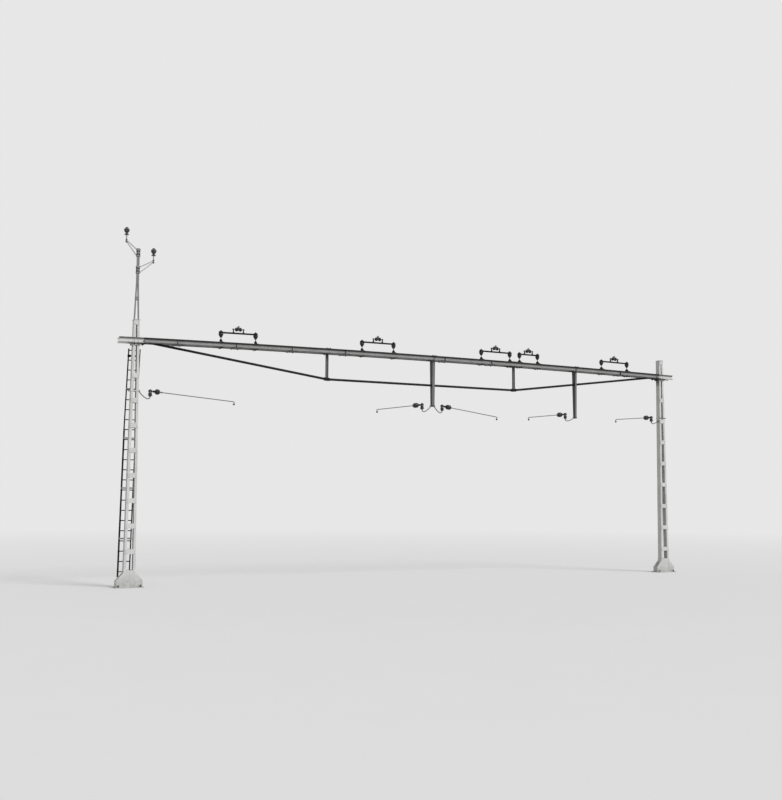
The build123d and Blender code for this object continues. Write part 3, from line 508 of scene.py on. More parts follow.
@dataclass(frozen=True)
class BeamPaint(Paint):
    """Grey paint of the beam, painted shade along the flanges and between the channels, darker below the
    beam's underside, pale ends outside the masts.
    """

    slot: Slot = Slot.BEAM
    colour: Colour = (0.37, 0.37, 0.365)
    grime_and_shade: Colour = (0.1, 0.098, 0.094)
    # Strong painted shade on faces that look down and on faces that look to -X.
    underside_shade: float = 0.85
    left_face_shade: float = 0.9
    dark_tone: float = 0.16
    flange_shade_share: float = 0.9
    upper_flange_shade: float = 0.05
    lower_flange_shade: float = 0.042
    flange_shade_overrun: float = 0.03
    waves: float = 0.006
    recess_shade_half: float = 0.03
    recess_shade_share: float = 0.78
    hung_below: float = 0.012
    hung_share: float = 0.6
    end_colour: Colour = (0.8, 0.8, 0.785)
    left_end: float = 0.24
    right_end: float = 21.87
    end_waves: float = 0.02

    def base(self, sheet: Sheet) -> Socket:
        """Lay the tone, the painted shade along both flanges and between the channels, the darker posts below
        and the pale ends.

        Args:
            sheet: The finish's shader nodes.

        Returns:
            The colour before any weathering.
        """
        depth = self.beam_depth(sheet)
        under = self.portal.beam_height
        # Painted shade: dark lines under the top flange and along the bottom flange, where the flanges shade
        # the web.
        wavy = sheet.math("ADD", depth, sheet.clouds(9.0, 3.0, 0.3, 0.7, -self.waves, self.waves))
        lower = sheet.product(sheet.above(wavy, under - self.lower_flange_shade, 0.02),
                              sheet.below(wavy, under + self.flange_shade_overrun, 0.015))
        edges = sheet.product(sheet.most(sheet.below(wavy, self.upper_flange_shade, 0.024), lower), self.flange_shade_share)
        # Painted shade in the recess between the two channels, where the truss posts stand.
        recess_shade = sheet.product(sheet.below(sheet.size(sheet.across), self.recess_shade_half, 0.004), self.recess_shade_share)
        hung = sheet.product(sheet.above(depth, under + self.hung_below, 0.018), self.hung_share)
        dark = shade(self.colour, self.dark_tone)
        colour = sheet.mix(sheet.most(edges, recess_shade, hung), super().base(sheet), dark)
        # The pale ends take half of the painted flange shade.
        pale = sheet.mix(sheet.product(edges, 0.5), self.end_colour, dark)
        waves = sheet.clouds(22.0, 3.0, 0.3, 0.7, -self.end_waves, self.end_waves)
        ragged = sheet.math("ADD", sheet.along, waves)
        ends = sheet.most(sheet.below(ragged, self.left_end, 0.02), sheet.above(ragged, self.right_end, 0.02))
        return sheet.mix(ends, colour, pale)


@dataclass(frozen=True)
class CastPaint(Paint):
    """Near-black paint of the fittings, greyer on the carriers' lugs and paler on their clamps' tips."""

    slot: Slot = Slot.CAST
    colour: Colour = (0.019, 0.019, 0.019)
    grime_and_shade: Colour = (0.04, 0.039, 0.037)
    gloss: float = 0.15
    roughness: float = 0.65
    dust: float = 0.2
    lug_colour: Colour = (0.09, 0.09, 0.088)
    lug_depth: float = -0.449
    clamp_colour: Colour = (0.3, 0.3, 0.295)
    clamp_depth: float = -0.559
    mast_reach: float = 1.0

    def base(self, sheet: Sheet) -> Socket:
        """Lay the tone of the fittings and the paler ones above the carriers' bars.

        Args:
            sheet: The finish's shader nodes.

        Returns:
            The colour before any weathering.
        """
        colour = super().base(sheet)
        depth = self.beam_depth(sheet)
        middle = self.portal.span / 2
        off_middle = sheet.size(sheet.math("SUBTRACT", sheet.along, middle))
        inside = sheet.below(off_middle, middle - self.mast_reach, 0.1)
        for level, tone in ((self.lug_depth, self.lug_colour), (self.clamp_depth, self.clamp_colour)):
            colour = sheet.mix(sheet.product(sheet.below(depth, level, 0.004), inside), colour, tone)
        return colour


@dataclass(frozen=True)
class ExtensionPaint(Paint):
    """Grey paint of the feeder extension, paler on the bracket bars, and pale paint with painted light inside
    the mast's head.
    """

    slot: Slot = Slot.EXTENSION
    colour: Colour = (0.27, 0.27, 0.267)
    grime_and_shade: Colour = (0.1, 0.098, 0.094)
    roughness: float = 0.6
    left_face_shade: float = 0.3
    bar_colour: Colour = (0.5, 0.5, 0.49)
    inside_paint_and_light: Colour = (0.9, 0.9, 0.88)
    stem_half: float = 0.07
    foot_level: float = 10.3

    def base(self, sheet: Sheet) -> Socket:
        """Lay the tone of the legs, the paler one of the bars, and the pale paint with painted light inside
        the mast.

        Args:
            sheet: The finish's shader nodes.

        Returns:
            The colour before any weathering.
        """
        bars = sheet.product(sheet.above(sheet.size(sheet.along), self.stem_half, 0.01),
                             sheet.above(sheet.height, self.foot_level, 0.01))
        # Painted light: the legs inside the mast's head are near white, paler than the mast's paint, to
        # brighten the shaded slot.
        inside = sheet.below(sheet.height, self.portal.mast_top - 0.02, 0.02)
        return sheet.mix(inside, sheet.mix(bars, super().base(sheet), self.bar_colour), self.inside_paint_and_light)


@dataclass(frozen=True)
class LadderPaint(Paint):
    """Near-black paint of the ladder; its brackets below the head one took the mast's pale paint."""

    slot: Slot = Slot.LADDER
    colour: Colour = (0.018, 0.018, 0.018)
    grime_and_shade: Colour = (0.04, 0.039, 0.037)
    gloss: float = 0.15
    roughness: float = 0.65
    tie_colour: Colour = (0.66, 0.66, 0.645)
    lower_back: float = 0.2445
    upper_back: float = 0.2905
    lap_top: float = 5.221
    head_level: float = 7.5

    def base(self, sheet: Sheet) -> Socket:
        """Lay the tone of the rails and the pale one of the brackets in front of them.

        Args:
            sheet: The finish's shader nodes.

        Returns:
            The colour before any weathering.
        """
        back = sheet.band(sheet.height, self.lap_top, self.lap_top + 0.001, self.lower_back, self.upper_back)
        ties = sheet.product(sheet.math("LESS_THAN", sheet.across, back),
                             sheet.below(sheet.height, self.head_level, 0.01))
        return sheet.mix(ties, super().base(sheet), self.tie_colour)


@dataclass(frozen=True)
class Glaze:
    """Dark brown porcelain glaze with a film of dust on what looks up, a shade paler on the feeders."""

    slot: Slot = Slot.PORCELAIN
    colour: Colour = (0.014, 0.0115, 0.0105)
    feeder_colour: Colour = (0.062, 0.054, 0.05)
    feeder_level: float = 10.5
    dust: Colour = (0.12, 0.115, 0.11)
    roughness: float = 0.2
    gloss: float = 0.4
    relief: float = 0.0004

    def material(self) -> bpy.types.Material:
        """Lay the glaze's two tones and the dust.

        Returns:
            The glaze's material.
        """
        sheet = Sheet(self.slot.value)
        colour = sheet.mix(sheet.clouds(14.0, 3.0, 0.3, 0.7), self.colour, shade(self.colour, 1.6))
        colour = sheet.mix(sheet.above(sheet.height, self.feeder_level, 0.01), colour, self.feeder_colour)
        film = sheet.product(sheet.looking("Z", 1), sheet.clouds(30.0, 5.0, 0.35, 0.75, 0.05, 0.4))
        rough = sheet.math("ADD", sheet.product(film, 0.5), self.roughness)
        sheet.shader.inputs["Specular IOR Level"].default_value = self.gloss
        return sheet.finish(sheet.mix(film, colour, self.dust), rough, sheet.noise(40.0, 2.0), self.relief)


@dataclass(frozen=True)
class Steel:
    """Dull galvanised steel with a faint spangle and rust where the zinc has gone."""

    slot: Slot = Slot.STEEL
    colour: Colour = (0.2, 0.2, 0.198)
    rust: Colour = (0.085, 0.06, 0.045)
    spangles: float = 90.0
    metallic: float = 0.3
    roughness: float = 0.55
    rust_share: float = 0.35
    relief: float = 0.0005

    def material(self) -> bpy.types.Material:
        """Lay the spangle and the rust.

        Returns:
            The steel's material.
        """
        sheet = Sheet(self.slot.value)
        grains = sheet.add("TexVoronoi", Scale=self.spangles, Vector=sheet.place).outputs["Distance"]
        colour = sheet.mix(sheet.band(grains, 0.1, 0.7), shade(self.colour, 0.86), shade(self.colour, 1.15))
        colour = sheet.mix(sheet.clouds(11.0, 6.0, 0.54, 0.7, 0.0, self.rust_share), colour, self.rust)
        rough = sheet.clouds(25.0, 3.0, 0.3, 0.7, self.roughness - 0.07, self.roughness + 0.15)
        sheet.shader.inputs["Metallic"].default_value = self.metallic
        return sheet.finish(colour, rough, sheet.noise(160.0, 4.0), self.relief)


def bevel(mesh: Pattern, parts: Sequence[bmesh.types.BMEdge | bmesh.types.BMVert], width: float, steps: int,
          affect: str = "EDGES") -> None:
    """Round off edges or corners.

    Args:
        mesh: The mesh that they belong to.
        parts: The edges or corners.
        width: How far they are rounded off.
        steps: Number of facets of the rounding.
        affect: EDGES or VERTICES.
    """
    bmesh.ops.bevel(mesh, geom=parts, offset=width, segments=steps, profile=0.5, affect=affect, material=-1)


def dome(radius: float, height: float) -> Pattern:
    """Shape the low dome of a rivet, flat side down on the origin.

    Args:
        radius: Radius of the dome's foot.
        height: Height of the dome.

    Returns:
        The dome.
    """
    ball = bmesh.new()
    bmesh.ops.create_uvsphere(ball, u_segments=10, v_segments=6, radius=1.0)
    everything = ball.verts[:] + ball.edges[:] + ball.faces[:]
    bmesh.ops.bisect_plane(ball, geom=everything, plane_co=(0, 0, 0), plane_no=(0, 0, -1), clear_outer=True)
    bmesh.ops.scale(ball, vec=(radius, radius, height), verts=ball.verts)
    return ball


def turned(outline: Outline, rounding: float, steps: int = 36) -> Pattern:
    """Turn half of a section about Z, as on a potter's wheel.

    Args:
        outline: Points of radius and height, from the axis at the foot to the axis at the top.
        rounding: How far each corner is rounded off.
        steps: Number of steps round the axis.

    Returns:
        The closed shape, its foot at the origin.
    """
    shape = bmesh.new()
    corners = [shape.verts.new((radius, 0, height)) for radius, height in outline]
    for first, second in zip(corners, corners[1:]):
        shape.edges.new((first, second))
    bevel(shape, corners[1:-1], rounding, 3, "VERTICES")
    bmesh.ops.spin(shape, geom=shape.verts[:] + shape.edges[:], cent=(0, 0, 0), axis=(0, 0, 1),
                   angle=math.tau, steps=steps, use_merge=True, use_duplicate=False)
    bmesh.ops.remove_doubles(shape, verts=shape.verts, dist=1e-6)
    bmesh.ops.recalc_face_normals(shape, faces=shape.faces)
    return shape


def round_bar(radius: float, length: float, rounding: float, steps: int) -> Pattern:
    """Turn a round bar that stands on the origin."""
    return turned(((0.0, 0.0), (radius, 0.0), (radius, length), (0.0, length)), rounding, steps)


def block(size: Size, rounding: float, top_share: float = 1.0, steps: int = 3) -> Pattern:
    """Shape a block with rounded edges, its middle at the origin.

    Args:
        size: Length, depth at the foot and height.
        rounding: Radius of the edges.
        top_share: Depth at the top as a share of the depth at the foot.
        steps: Number of facets of the rounding.

    Returns:
        The block.
    """
    shape = bmesh.new()
    bmesh.ops.create_cube(shape, size=1.0, matrix=Matrix.Diagonal((*size, 1.0)))
    top = [corner for corner in shape.verts if corner.co.z > 0]
    bmesh.ops.scale(shape, vec=(1, top_share, 1), verts=top)
    bevel(shape, shape.edges[:], rounding, steps)
    return shape


@dataclass(frozen=True)
class Bolt:
    """Hexagon head or nut, with the radius of its washer and the length of thread above it, or 0 for none."""

    width: float
    height: float
    washer: float = 0.0
    stub: float = 0.0
    washer_share: float = 0.15
    chamfer_share: float = 0.12
    thread_shares: tuple[float, float] = (0.3, 0.26)

    def shape(self) -> Pattern:
        """Shape the bolt, standing on the origin.

        Returns:
            The bolt.
        """
        bolt = bmesh.new()
        lift = self.washer_share * self.height if self.washer else 0.0
        corner = self.width / math.sqrt(3)
        foot, tip = (share * self.width for share in self.thread_shares)
        self.pillar(bolt, 6, (corner, corner), lift, self.height)
        rim = [edge for edge in bolt.edges if all(v.co.z > lift + 0.9 * self.height for v in edge.verts)]
        bevel(bolt, rim, self.chamfer_share * self.width, 2)
        if self.washer:
            self.pillar(bolt, 16, (self.washer, self.washer), 0.0, lift)
        if self.stub:
            self.pillar(bolt, 12, (foot, tip), lift + self.height, self.stub)
        return bolt

    @staticmethod
    def pillar(mesh: Pattern, sides: int, radii: tuple[float, float], base: float, height: float) -> None:
        """Add one upright length of the bolt.

        Args:
            mesh: The mesh that takes it.
            sides: Number of its sides.
            radii: Radius at its foot and at its top.
            base: Level of its foot.
            height: Its height.
        """
        bmesh.ops.create_cone(mesh, cap_ends=True, segments=sides, radius1=radii[0], radius2=radii[1],
                              depth=height, matrix=move(0, 0, base + height / 2))

    def at(self, places: Iterable[Matrix]) -> Batch:
        """Batch of this bolt, one at each place."""
        return self.shape(), places


class Workshop:
    """Keeps the finishes and turns meshes into pieces that ride on the frame."""

    def __init__(self, portal: Portal) -> None:
        """Build each finish once.

        Args:
            portal: Levels and lines that the paints follow.
        """
        finishes = (MastPaint(portal), BeamPaint(portal), CastPaint(portal), Steel(), Glaze(),
                    LadderPaint(portal), ExtensionPaint(portal))
        self.materials = {finish.slot: finish.material() for finish in finishes}

    def dress_nodes(self) -> None:
        """Give every node of the frame the finish of its slot."""
        slots = {row["node"]: Slot(row["material_slot"]) for row in frame["record"]["subparts"]}
        for name, node in frame["nodes"].items():
            node.data.materials.clear()
            node.data.materials.append(self.materials[slots[name]])
            log.info("node %s takes %s", name, slots[name].value)

    @staticmethod
    def stamp(mesh: Pattern, pattern: Pattern, places: Iterable[Matrix]) -> None:
        """Copy a pattern into a mesh at many places.

        Args:
            mesh: The mesh that takes the copies.
            pattern: The shape that is copied, built round the origin; it is freed afterwards.
            places: One matrix for each copy.
        """
        mould = bpy.data.meshes.new("pattern")
        pattern.to_mesh(mould)
        pattern.free()
        for place in places:
            first = len(mesh.verts)
            mesh.from_mesh(mould)
            mesh.verts.ensure_lookup_table()
            bmesh.ops.transform(mesh, matrix=place, verts=mesh.verts[first:])
        bpy.data.meshes.remove(mould)

    def add(self, name: str, slot: Slot, *batches: Batch, body: str = BODY, replaces: str = "",
            smooth: float = 35.0) -> None:
        """Make one finished piece of copies of one or more patterns.

        Args:
            name: The piece's name.
            slot: The finish that it takes.
            batches: Patterns, each with the places of its copies.
            body: The body that it rides on.
            replaces: The node that it stands for, if any.
            smooth: Edges flatter than this angle, in degrees, are shaded smooth.
        """
        mesh = bmesh.new()
        for pattern, places in batches:
            self.stamp(mesh, pattern, places)
        bmesh.ops.remove_doubles(mesh, verts=mesh.verts, dist=1e-6)
        bmesh.ops.recalc_face_normals(mesh, faces=mesh.faces)
        data = bpy.data.meshes.new(name)
        mesh.to_mesh(data)
        mesh.free()
        data.materials.append(self.materials[slot])
        data.set_sharp_from_angle(angle=math.radians(smooth))
        piece = bpy.data.objects.new(name, data)
        bpy.context.scene.collection.objects.link(piece)
        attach(piece, body)
        if replaces:
            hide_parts(replaces)
        log.info("piece %s: %d faces on %s", name, len(data.polygons), body)

    def add_porcelain(self, name: str, node: str, outline: Outline, places: Iterable[Matrix],
                      rounding: float = 0.003, body: str = BODY) -> None:
        """Make turned porcelain that stands for the plainer solids of a node.

        Args:
            name: The piece's name.
            node: The node that it stands for.
            outline: Points of radius and height of its section.
            places: One matrix for each copy.
            rounding: How far each corner is rounded off.
            body: The body that it rides on.
        """
        batch = (turned(outline, rounding), places)
        self.add(name, Slot.PORCELAIN, batch, body=body, replaces=node, smooth=60.0)


@dataclass
class MastFixings:
    """Rivets of a mast's battens, gussets and toe plates, and the nuts on its anchor bolts."""

    portal: Portal
    side: str
    middle: float
    batten_first: float
    batten_pitch: float
    batten_count: int = 8
    batten_thick: float = 0.008
    head_batten_drop: float = 0.09
    edge: float = 0.04
    rivet_radius: float = 0.015
    rivet_height: float = 0.011
    rivet_rises: tuple[float, ...] = (-0.05, 0.0, 0.05)
    gusset_thick: float = 0.012
    gusset_rows: tuple[float, ...] = (0.09, 0.19, 0.29, 0.39, 0.49)
    toe_x: float = 0.405
    toe_rows: tuple[float, ...] = (0.07, 0.13, 0.19)
    anchor_x: float = 0.36
    anchor_y: float = 0.175
    anchor_nut: Bolt = Bolt(0.055, 0.029, washer=0.036, stub=0.03)

    def rivet_places(self) -> list[Matrix]:
        """List the rivets of one quarter of the mast and mirror them to both sides of both faces.

        Returns:
            The place of every rivet.
        """
        battens = [self.batten_first + i * self.batten_pitch for i in range(self.batten_count)]
        battens.append(self.portal.mast_top - self.head_batten_drop)
        quarter = [(self.portal.mast_half_width(level) - self.edge, self.batten_thick, level + rise)
                   for level in battens for rise in self.rivet_rises]
        quarter += [(self.portal.mast_half_width(level) - self.edge, self.gusset_thick, level)
                    for level in self.gusset_rows]
        quarter += [(self.toe_x, self.gusset_thick, level) for level in self.toe_rows]
        return [outward(self.middle + side * reach, face * (self.portal.mast_depth / 2 + thick), level)
                for face in BOTH for side in BOTH for reach, thick, level in quarter]

    def build(self, shop: Workshop) -> None:
        """Make the rivets and the anchor nuts.

        Args:
            shop: The workshop that finishes them.
        """
        rivet = dome(self.rivet_radius, self.rivet_height)
        shop.add(f"{self.side}_mast_rivets", Slot.MAST, (rivet, self.rivet_places()))
        corners = [move(self.middle + side * self.anchor_x, face * self.anchor_y, self.portal.base_top)
                   for side in BOTH for face in BOTH]
        shop.add(f"{self.side}_anchor_nuts", Slot.CAST, self.anchor_nut.at(corners))


@dataclass(frozen=True)
class DropPost:
    """Place of one drop post, level of its underside, its width, and level of the rod where they cross."""

    x: float
    underside: float
    width: float
    rod_level: float


@dataclass
class BeamFixings:
    """Bolts of the beam's tie plates, head plates, seats and drop posts, and the posts' side plates."""

    portal: Portal
    tie_places: tuple[float, ...] = (1.4, 3.45, 5.5, 7.55, 11.65, 13.7, 19.85)
    drops: tuple[DropPost, ...] = (DropPost(11.1694, 6.43, 0.1, 7.24), DropPost(17.6506, 6.24, 0.068, 7.6155))
    tie_thick: float = 0.01
    tie_reach: float = 0.11
    head_thick: float = 0.012
    head_reach: float = 0.068
    truss_head_thick: float = 0.01
    truss_head_reach: float = 0.046
    flange_head: Bolt = Bolt(0.03, 0.014, washer=0.019)
    flange_nut: Bolt = Bolt(0.03, 0.016, washer=0.019, stub=0.01)
    web_bolt: Bolt = Bolt(0.036, 0.016, washer=0.023, stub=0.008)
    web_edge: float = 0.042
    mast_drops: tuple[float, float] = (0.055, 0.125)
    seat_thick: float = 0.008
    seat_gap: float = 0.0064
    seat_drop: float = 0.04
    seat_reach: float = 0.135
    drop_bolt: Bolt = Bolt(0.028, 0.013, washer=0.017)
    drop_web_reach: float = 0.024
    drop_web_drops: tuple[float, float] = (0.055, 0.115)
    drop_foot_reach: float = 0.026
    drop_foot_rise: float = 0.036
    drop_foot_half: float = 0.076
    drop_half: float = 0.068
    bar_head_drop: float = 0.014
    foot_block: float = 0.06
    rod_gap: float = 0.05
    side_plate_thick: float = 0.005
    side_plate_gap: float = 0.004
    side_plate_margin: float = 0.001

    def bar_reach(self, post: DropPost, level: float) -> float:
        """Find how far a drop post's bars reach from the middle plane.

        Args:
            post: The drop post.
            level: Height at which it is asked.

        Returns:
            The distance of the outer faces, less the side plates' margin.
        """
        foot = post.underside + self.foot_block
        head = self.portal.beam_level(post.x) - self.bar_head_drop
        top = self.portal.beam_half_gap - self.portal.fit_gap
        share = (level - foot) / (head - foot)
        return self.drop_half + share * (top - self.drop_half) - self.side_plate_margin

    def side_plates(self) -> list[Batch]:
        """Shape the plates that close both sides of the drop posts, above and below the tension rod.

        Returns:
            The plates with their places.
        """
        batches = []
        for post in self.drops:
            foot = post.underside + self.foot_block
            head = self.portal.beam_level(post.x) - self.portal.beam_height - self.side_plate_gap
            off = (post.width + self.side_plate_thick) / 2
            for low, high in ((foot, post.rod_level - self.rod_gap), (post.rod_level + self.rod_gap, head)):
                reach = self.bar_reach(post, low)
                plate = block((self.side_plate_thick, 2 * reach, high - low), 0.001,
                              self.bar_reach(post, high) / reach, 2)
                batches.append((plate, [move(post.x + side * off, 0, (low + high) / 2) for side in BOTH]))
        return batches

    def flange_bolts(self) -> tuple[list[Matrix], list[Matrix]]:
        """List the bolts of the tie plates, of the truss posts' heads and of the plates on the beam.

        Returns:
            The places of the heads outside the channels and of the nuts inside.
        """
        bottom = -self.portal.beam_height
        outside = bottom - self.portal.fit_gap
        inside = bottom + self.portal.flange_thick
        drop_places = tuple(post.x for post in self.drops)
        plates = ((self.tie_places, self.tie_reach, outside - self.tie_thick, inside),
                  (self.portal.truss_places, self.truss_head_reach, outside - self.truss_head_thick, inside),
                  (self.portal.truss_places + drop_places, self.head_reach,
                   self.portal.fit_gap + self.head_thick, -self.portal.flange_thick))
        upward, downward = Matrix.Identity(4), Matrix.Rotation(math.pi, 4, "X")
        heads, nuts = [], []
        for places, reach, head, nut in plates:
            head_turn, nut_turn = (downward, upward) if head < nut else (upward, downward)
            for x in places:
                corners = [move(side * reach, face * self.portal.flange_middle(), 0)
                           for side in BOTH for face in BOTH]
                heads += [self.portal.seat(x, head) @ corner @ head_turn for corner in corners]
                nuts += [self.portal.seat(x, nut) @ corner @ nut_turn for corner in corners]
        return heads, nuts

    def mast_bolts(self) -> tuple[list[Matrix], list[Matrix]]:
        """List the bolts that hold the beam to the masts.

        Returns:
            The places of the bolts in the webs, and of those in both legs of the seat angles.
        """
        webs, seats = [], []
        for middle in (0.0, self.portal.span):
            level = self.portal.beam_level(middle)
            reach = self.portal.mast_half_width(level) - self.web_edge
            angle = level - self.portal.beam_height - self.seat_gap
            for face in BOTH:
                leg = face * (self.portal.mast_depth / 2 + self.seat_thick)
                for side in BOTH:
                    webs += [outward(middle + side * reach, face * self.portal.web_face(), level - drop)
                             for drop in self.mast_drops]
                    seats.append(outward(middle + side * reach, leg, angle - self.seat_drop))
                    seats.append(facing((middle + side * self.seat_reach, face * self.portal.flange_middle(),
                                         angle - self.seat_thick), (0, 0, -1)))
        return webs, seats

    def drop_bolts(self) -> list[Matrix]:
        """List the bolts through the drop posts' feet and through the beam's webs above them.

        Returns:
            The places of the bolts.
        """
        places = []
        for post in self.drops:
            rows = [(self.drop_foot_reach, self.drop_foot_half, post.underside + self.drop_foot_rise)]
            rows += [(self.drop_web_reach, self.portal.web_face(), self.portal.beam_level(post.x) - drop)
                     for drop in self.drop_web_drops]
            places += [outward(post.x + side * reach, face * out, level)
                       for face in BOTH for side in BOTH for reach, out, level in rows]
        return places

    def build(self, shop: Workshop) -> None:
        """Make the bolts of the beam and the side plates.

        Args:
            shop: The workshop that finishes them.
        """
        heads, nuts = self.flange_bolts()
        webs, seats = self.mast_bolts()
        shop.add("beam_flange_bolts", Slot.BEAM, self.flange_head.at(heads))
        shop.add("beam_flange_nuts", Slot.BEAM, self.flange_nut.at(nuts))
        shop.add("beam_web_bolts", Slot.MAST, self.web_bolt.at(webs))
        shop.add("beam_seat_bolts", Slot.CAST, self.web_bolt.at(seats))
        shop.add("drop_post_bolts", Slot.CAST, self.drop_bolt.at(self.drop_bolts()))
        shop.add("drop_post_side_plates", Slot.BEAM, *self.side_plates())


@dataclass
class TensionRod:
    """Tubes round the rod, its nuts and shoe bolts, and the keeper plates under its anchors."""

    portal: Portal
    anchor_offset: float = 0.25
    anchor_level: float = 8.148
    anchor_half: float = 0.04
    shoe_level: float = 7.24
    shoe_half: float = 0.075
    shoe_depth: float = 0.08
    nut: Bolt = Bolt(0.104, 0.045)
    end_nut: Bolt = Bolt(0.104, 0.045, stub=0.02)
    tube_radius: float = 0.0425
    side_bolt: Bolt = Bolt(0.04, 0.018, washer=0.026)
    side_bolt_reach: float = 0.042
    side_bolt_rise: float = 0.012
    keeper_size: Size = (0.11, 0.376, 0.024)
    keeper_gap: float = 0.0005
    keeper_bolt: Bolt = Bolt(0.036, 0.018, washer=0.023, stub=0.01)

    def anchor_places(self) -> tuple[float, float]:
        """Places of the two anchors along the beam."""
        return self.anchor_offset, self.portal.span - self.anchor_offset

    def sloping_lengths(self) -> list[tuple[Vector, Vector]]:
        """Ends of the rod's two sloping lengths, each from its anchor to its shoe."""
        return [(Vector((anchor, 0, self.anchor_level)), Vector((shoe, 0, self.shoe_level)))
                for anchor, shoe in zip(self.anchor_places(), self.portal.truss_places)]

    def nut_places(self) -> list[Matrix]:
        """List the nuts on the rod: inside each anchor, outside each shoe and inside it.

        Returns:
            The three places at the left half of the rod, then those at the right half.
        """
        places = []
        for start, end in self.sloping_lengths():
            along = (end - start).normalized()
            inward = Vector((math.copysign(1, end.x - start.x), 0, 0))
            places += [facing(start + along * self.anchor_half, along),
                       facing(end - along * self.shoe_half, -along),
                       facing(end + inward * self.shoe_half, inward)]
        return places

    def tubes(self) -> list[Batch]:
        """Shape the tubes round the rod's three lengths, each from nut to nut.

        Returns:
            The tubes with their places.
        """
        nuts = [place @ Vector((0, 0, self.nut.height / 2)) for place in self.nut_places()]
        lengths = ((nuts[0], nuts[1]), (nuts[2], nuts[5]), (nuts[4], nuts[3]))
        return [(round_bar(self.tube_radius, (end - start).length, 0.002, 28), [facing(start, end - start)])
                for start, end in lengths]

    def end_places(self) -> list[Matrix]:
        """Places of the nuts with thread ends behind the anchors."""
        return [facing(start - (end - start).normalized() * self.anchor_half, start - end)
                for start, end in self.sloping_lengths()]

    def keepers(self) -> list[Batch]:
        """Shape the keeper plates under the beam at both anchors, with their nuts.

        Returns:
            The plates and the nuts with their places.
        """
        under = -self.portal.beam_height - self.keeper_gap
        seats = [self.portal.seat(x, under) for x in self.anchor_places()]
        thick = self.keeper_size[2]
        return [(block(self.keeper_size, 0.004), [seat @ move(0, 0, -thick / 2) for seat in seats]),
                self.keeper_bolt.at(seat @ facing((0, face * self.portal.flange_middle(), -thick), (0, 0, -1))
                                    for seat in seats for face in BOTH)]

    def side_places(self) -> list[Matrix]:
        """List the bolts on the shoes' cheeks and on the webs beside the anchors.

        Returns:
            The places of the bolts.
        """
        level = self.shoe_level + self.side_bolt_rise
        places = [outward(shoe + side * self.side_bolt_reach, face * self.shoe_depth / 2, level)
                  for face in BOTH for shoe in self.portal.truss_places for side in BOTH]
        places += [outward(anchor, face * self.portal.web_face(), self.anchor_level)
                   for face in BOTH for anchor in self.anchor_places()]
        return places

    def build(self, shop: Workshop) -> None:
        """Make the tubes, nuts, bolts and keeper plates of the rod.

        Args:
            shop: The workshop that finishes them.
        """
        shop.add("rod_tubes", Slot.CAST, *self.tubes())
        shop.add("rod_nuts", Slot.CAST, self.nut.at(self.nut_places()))
        shop.add("rod_end_nuts", Slot.CAST, self.end_nut.at(self.end_places()))
        shop.add("rod_side_bolts", Slot.CAST, self.side_bolt.at(self.side_places()))
        shop.add("rod_keeper_plates", Slot.CAST, *self.keepers())


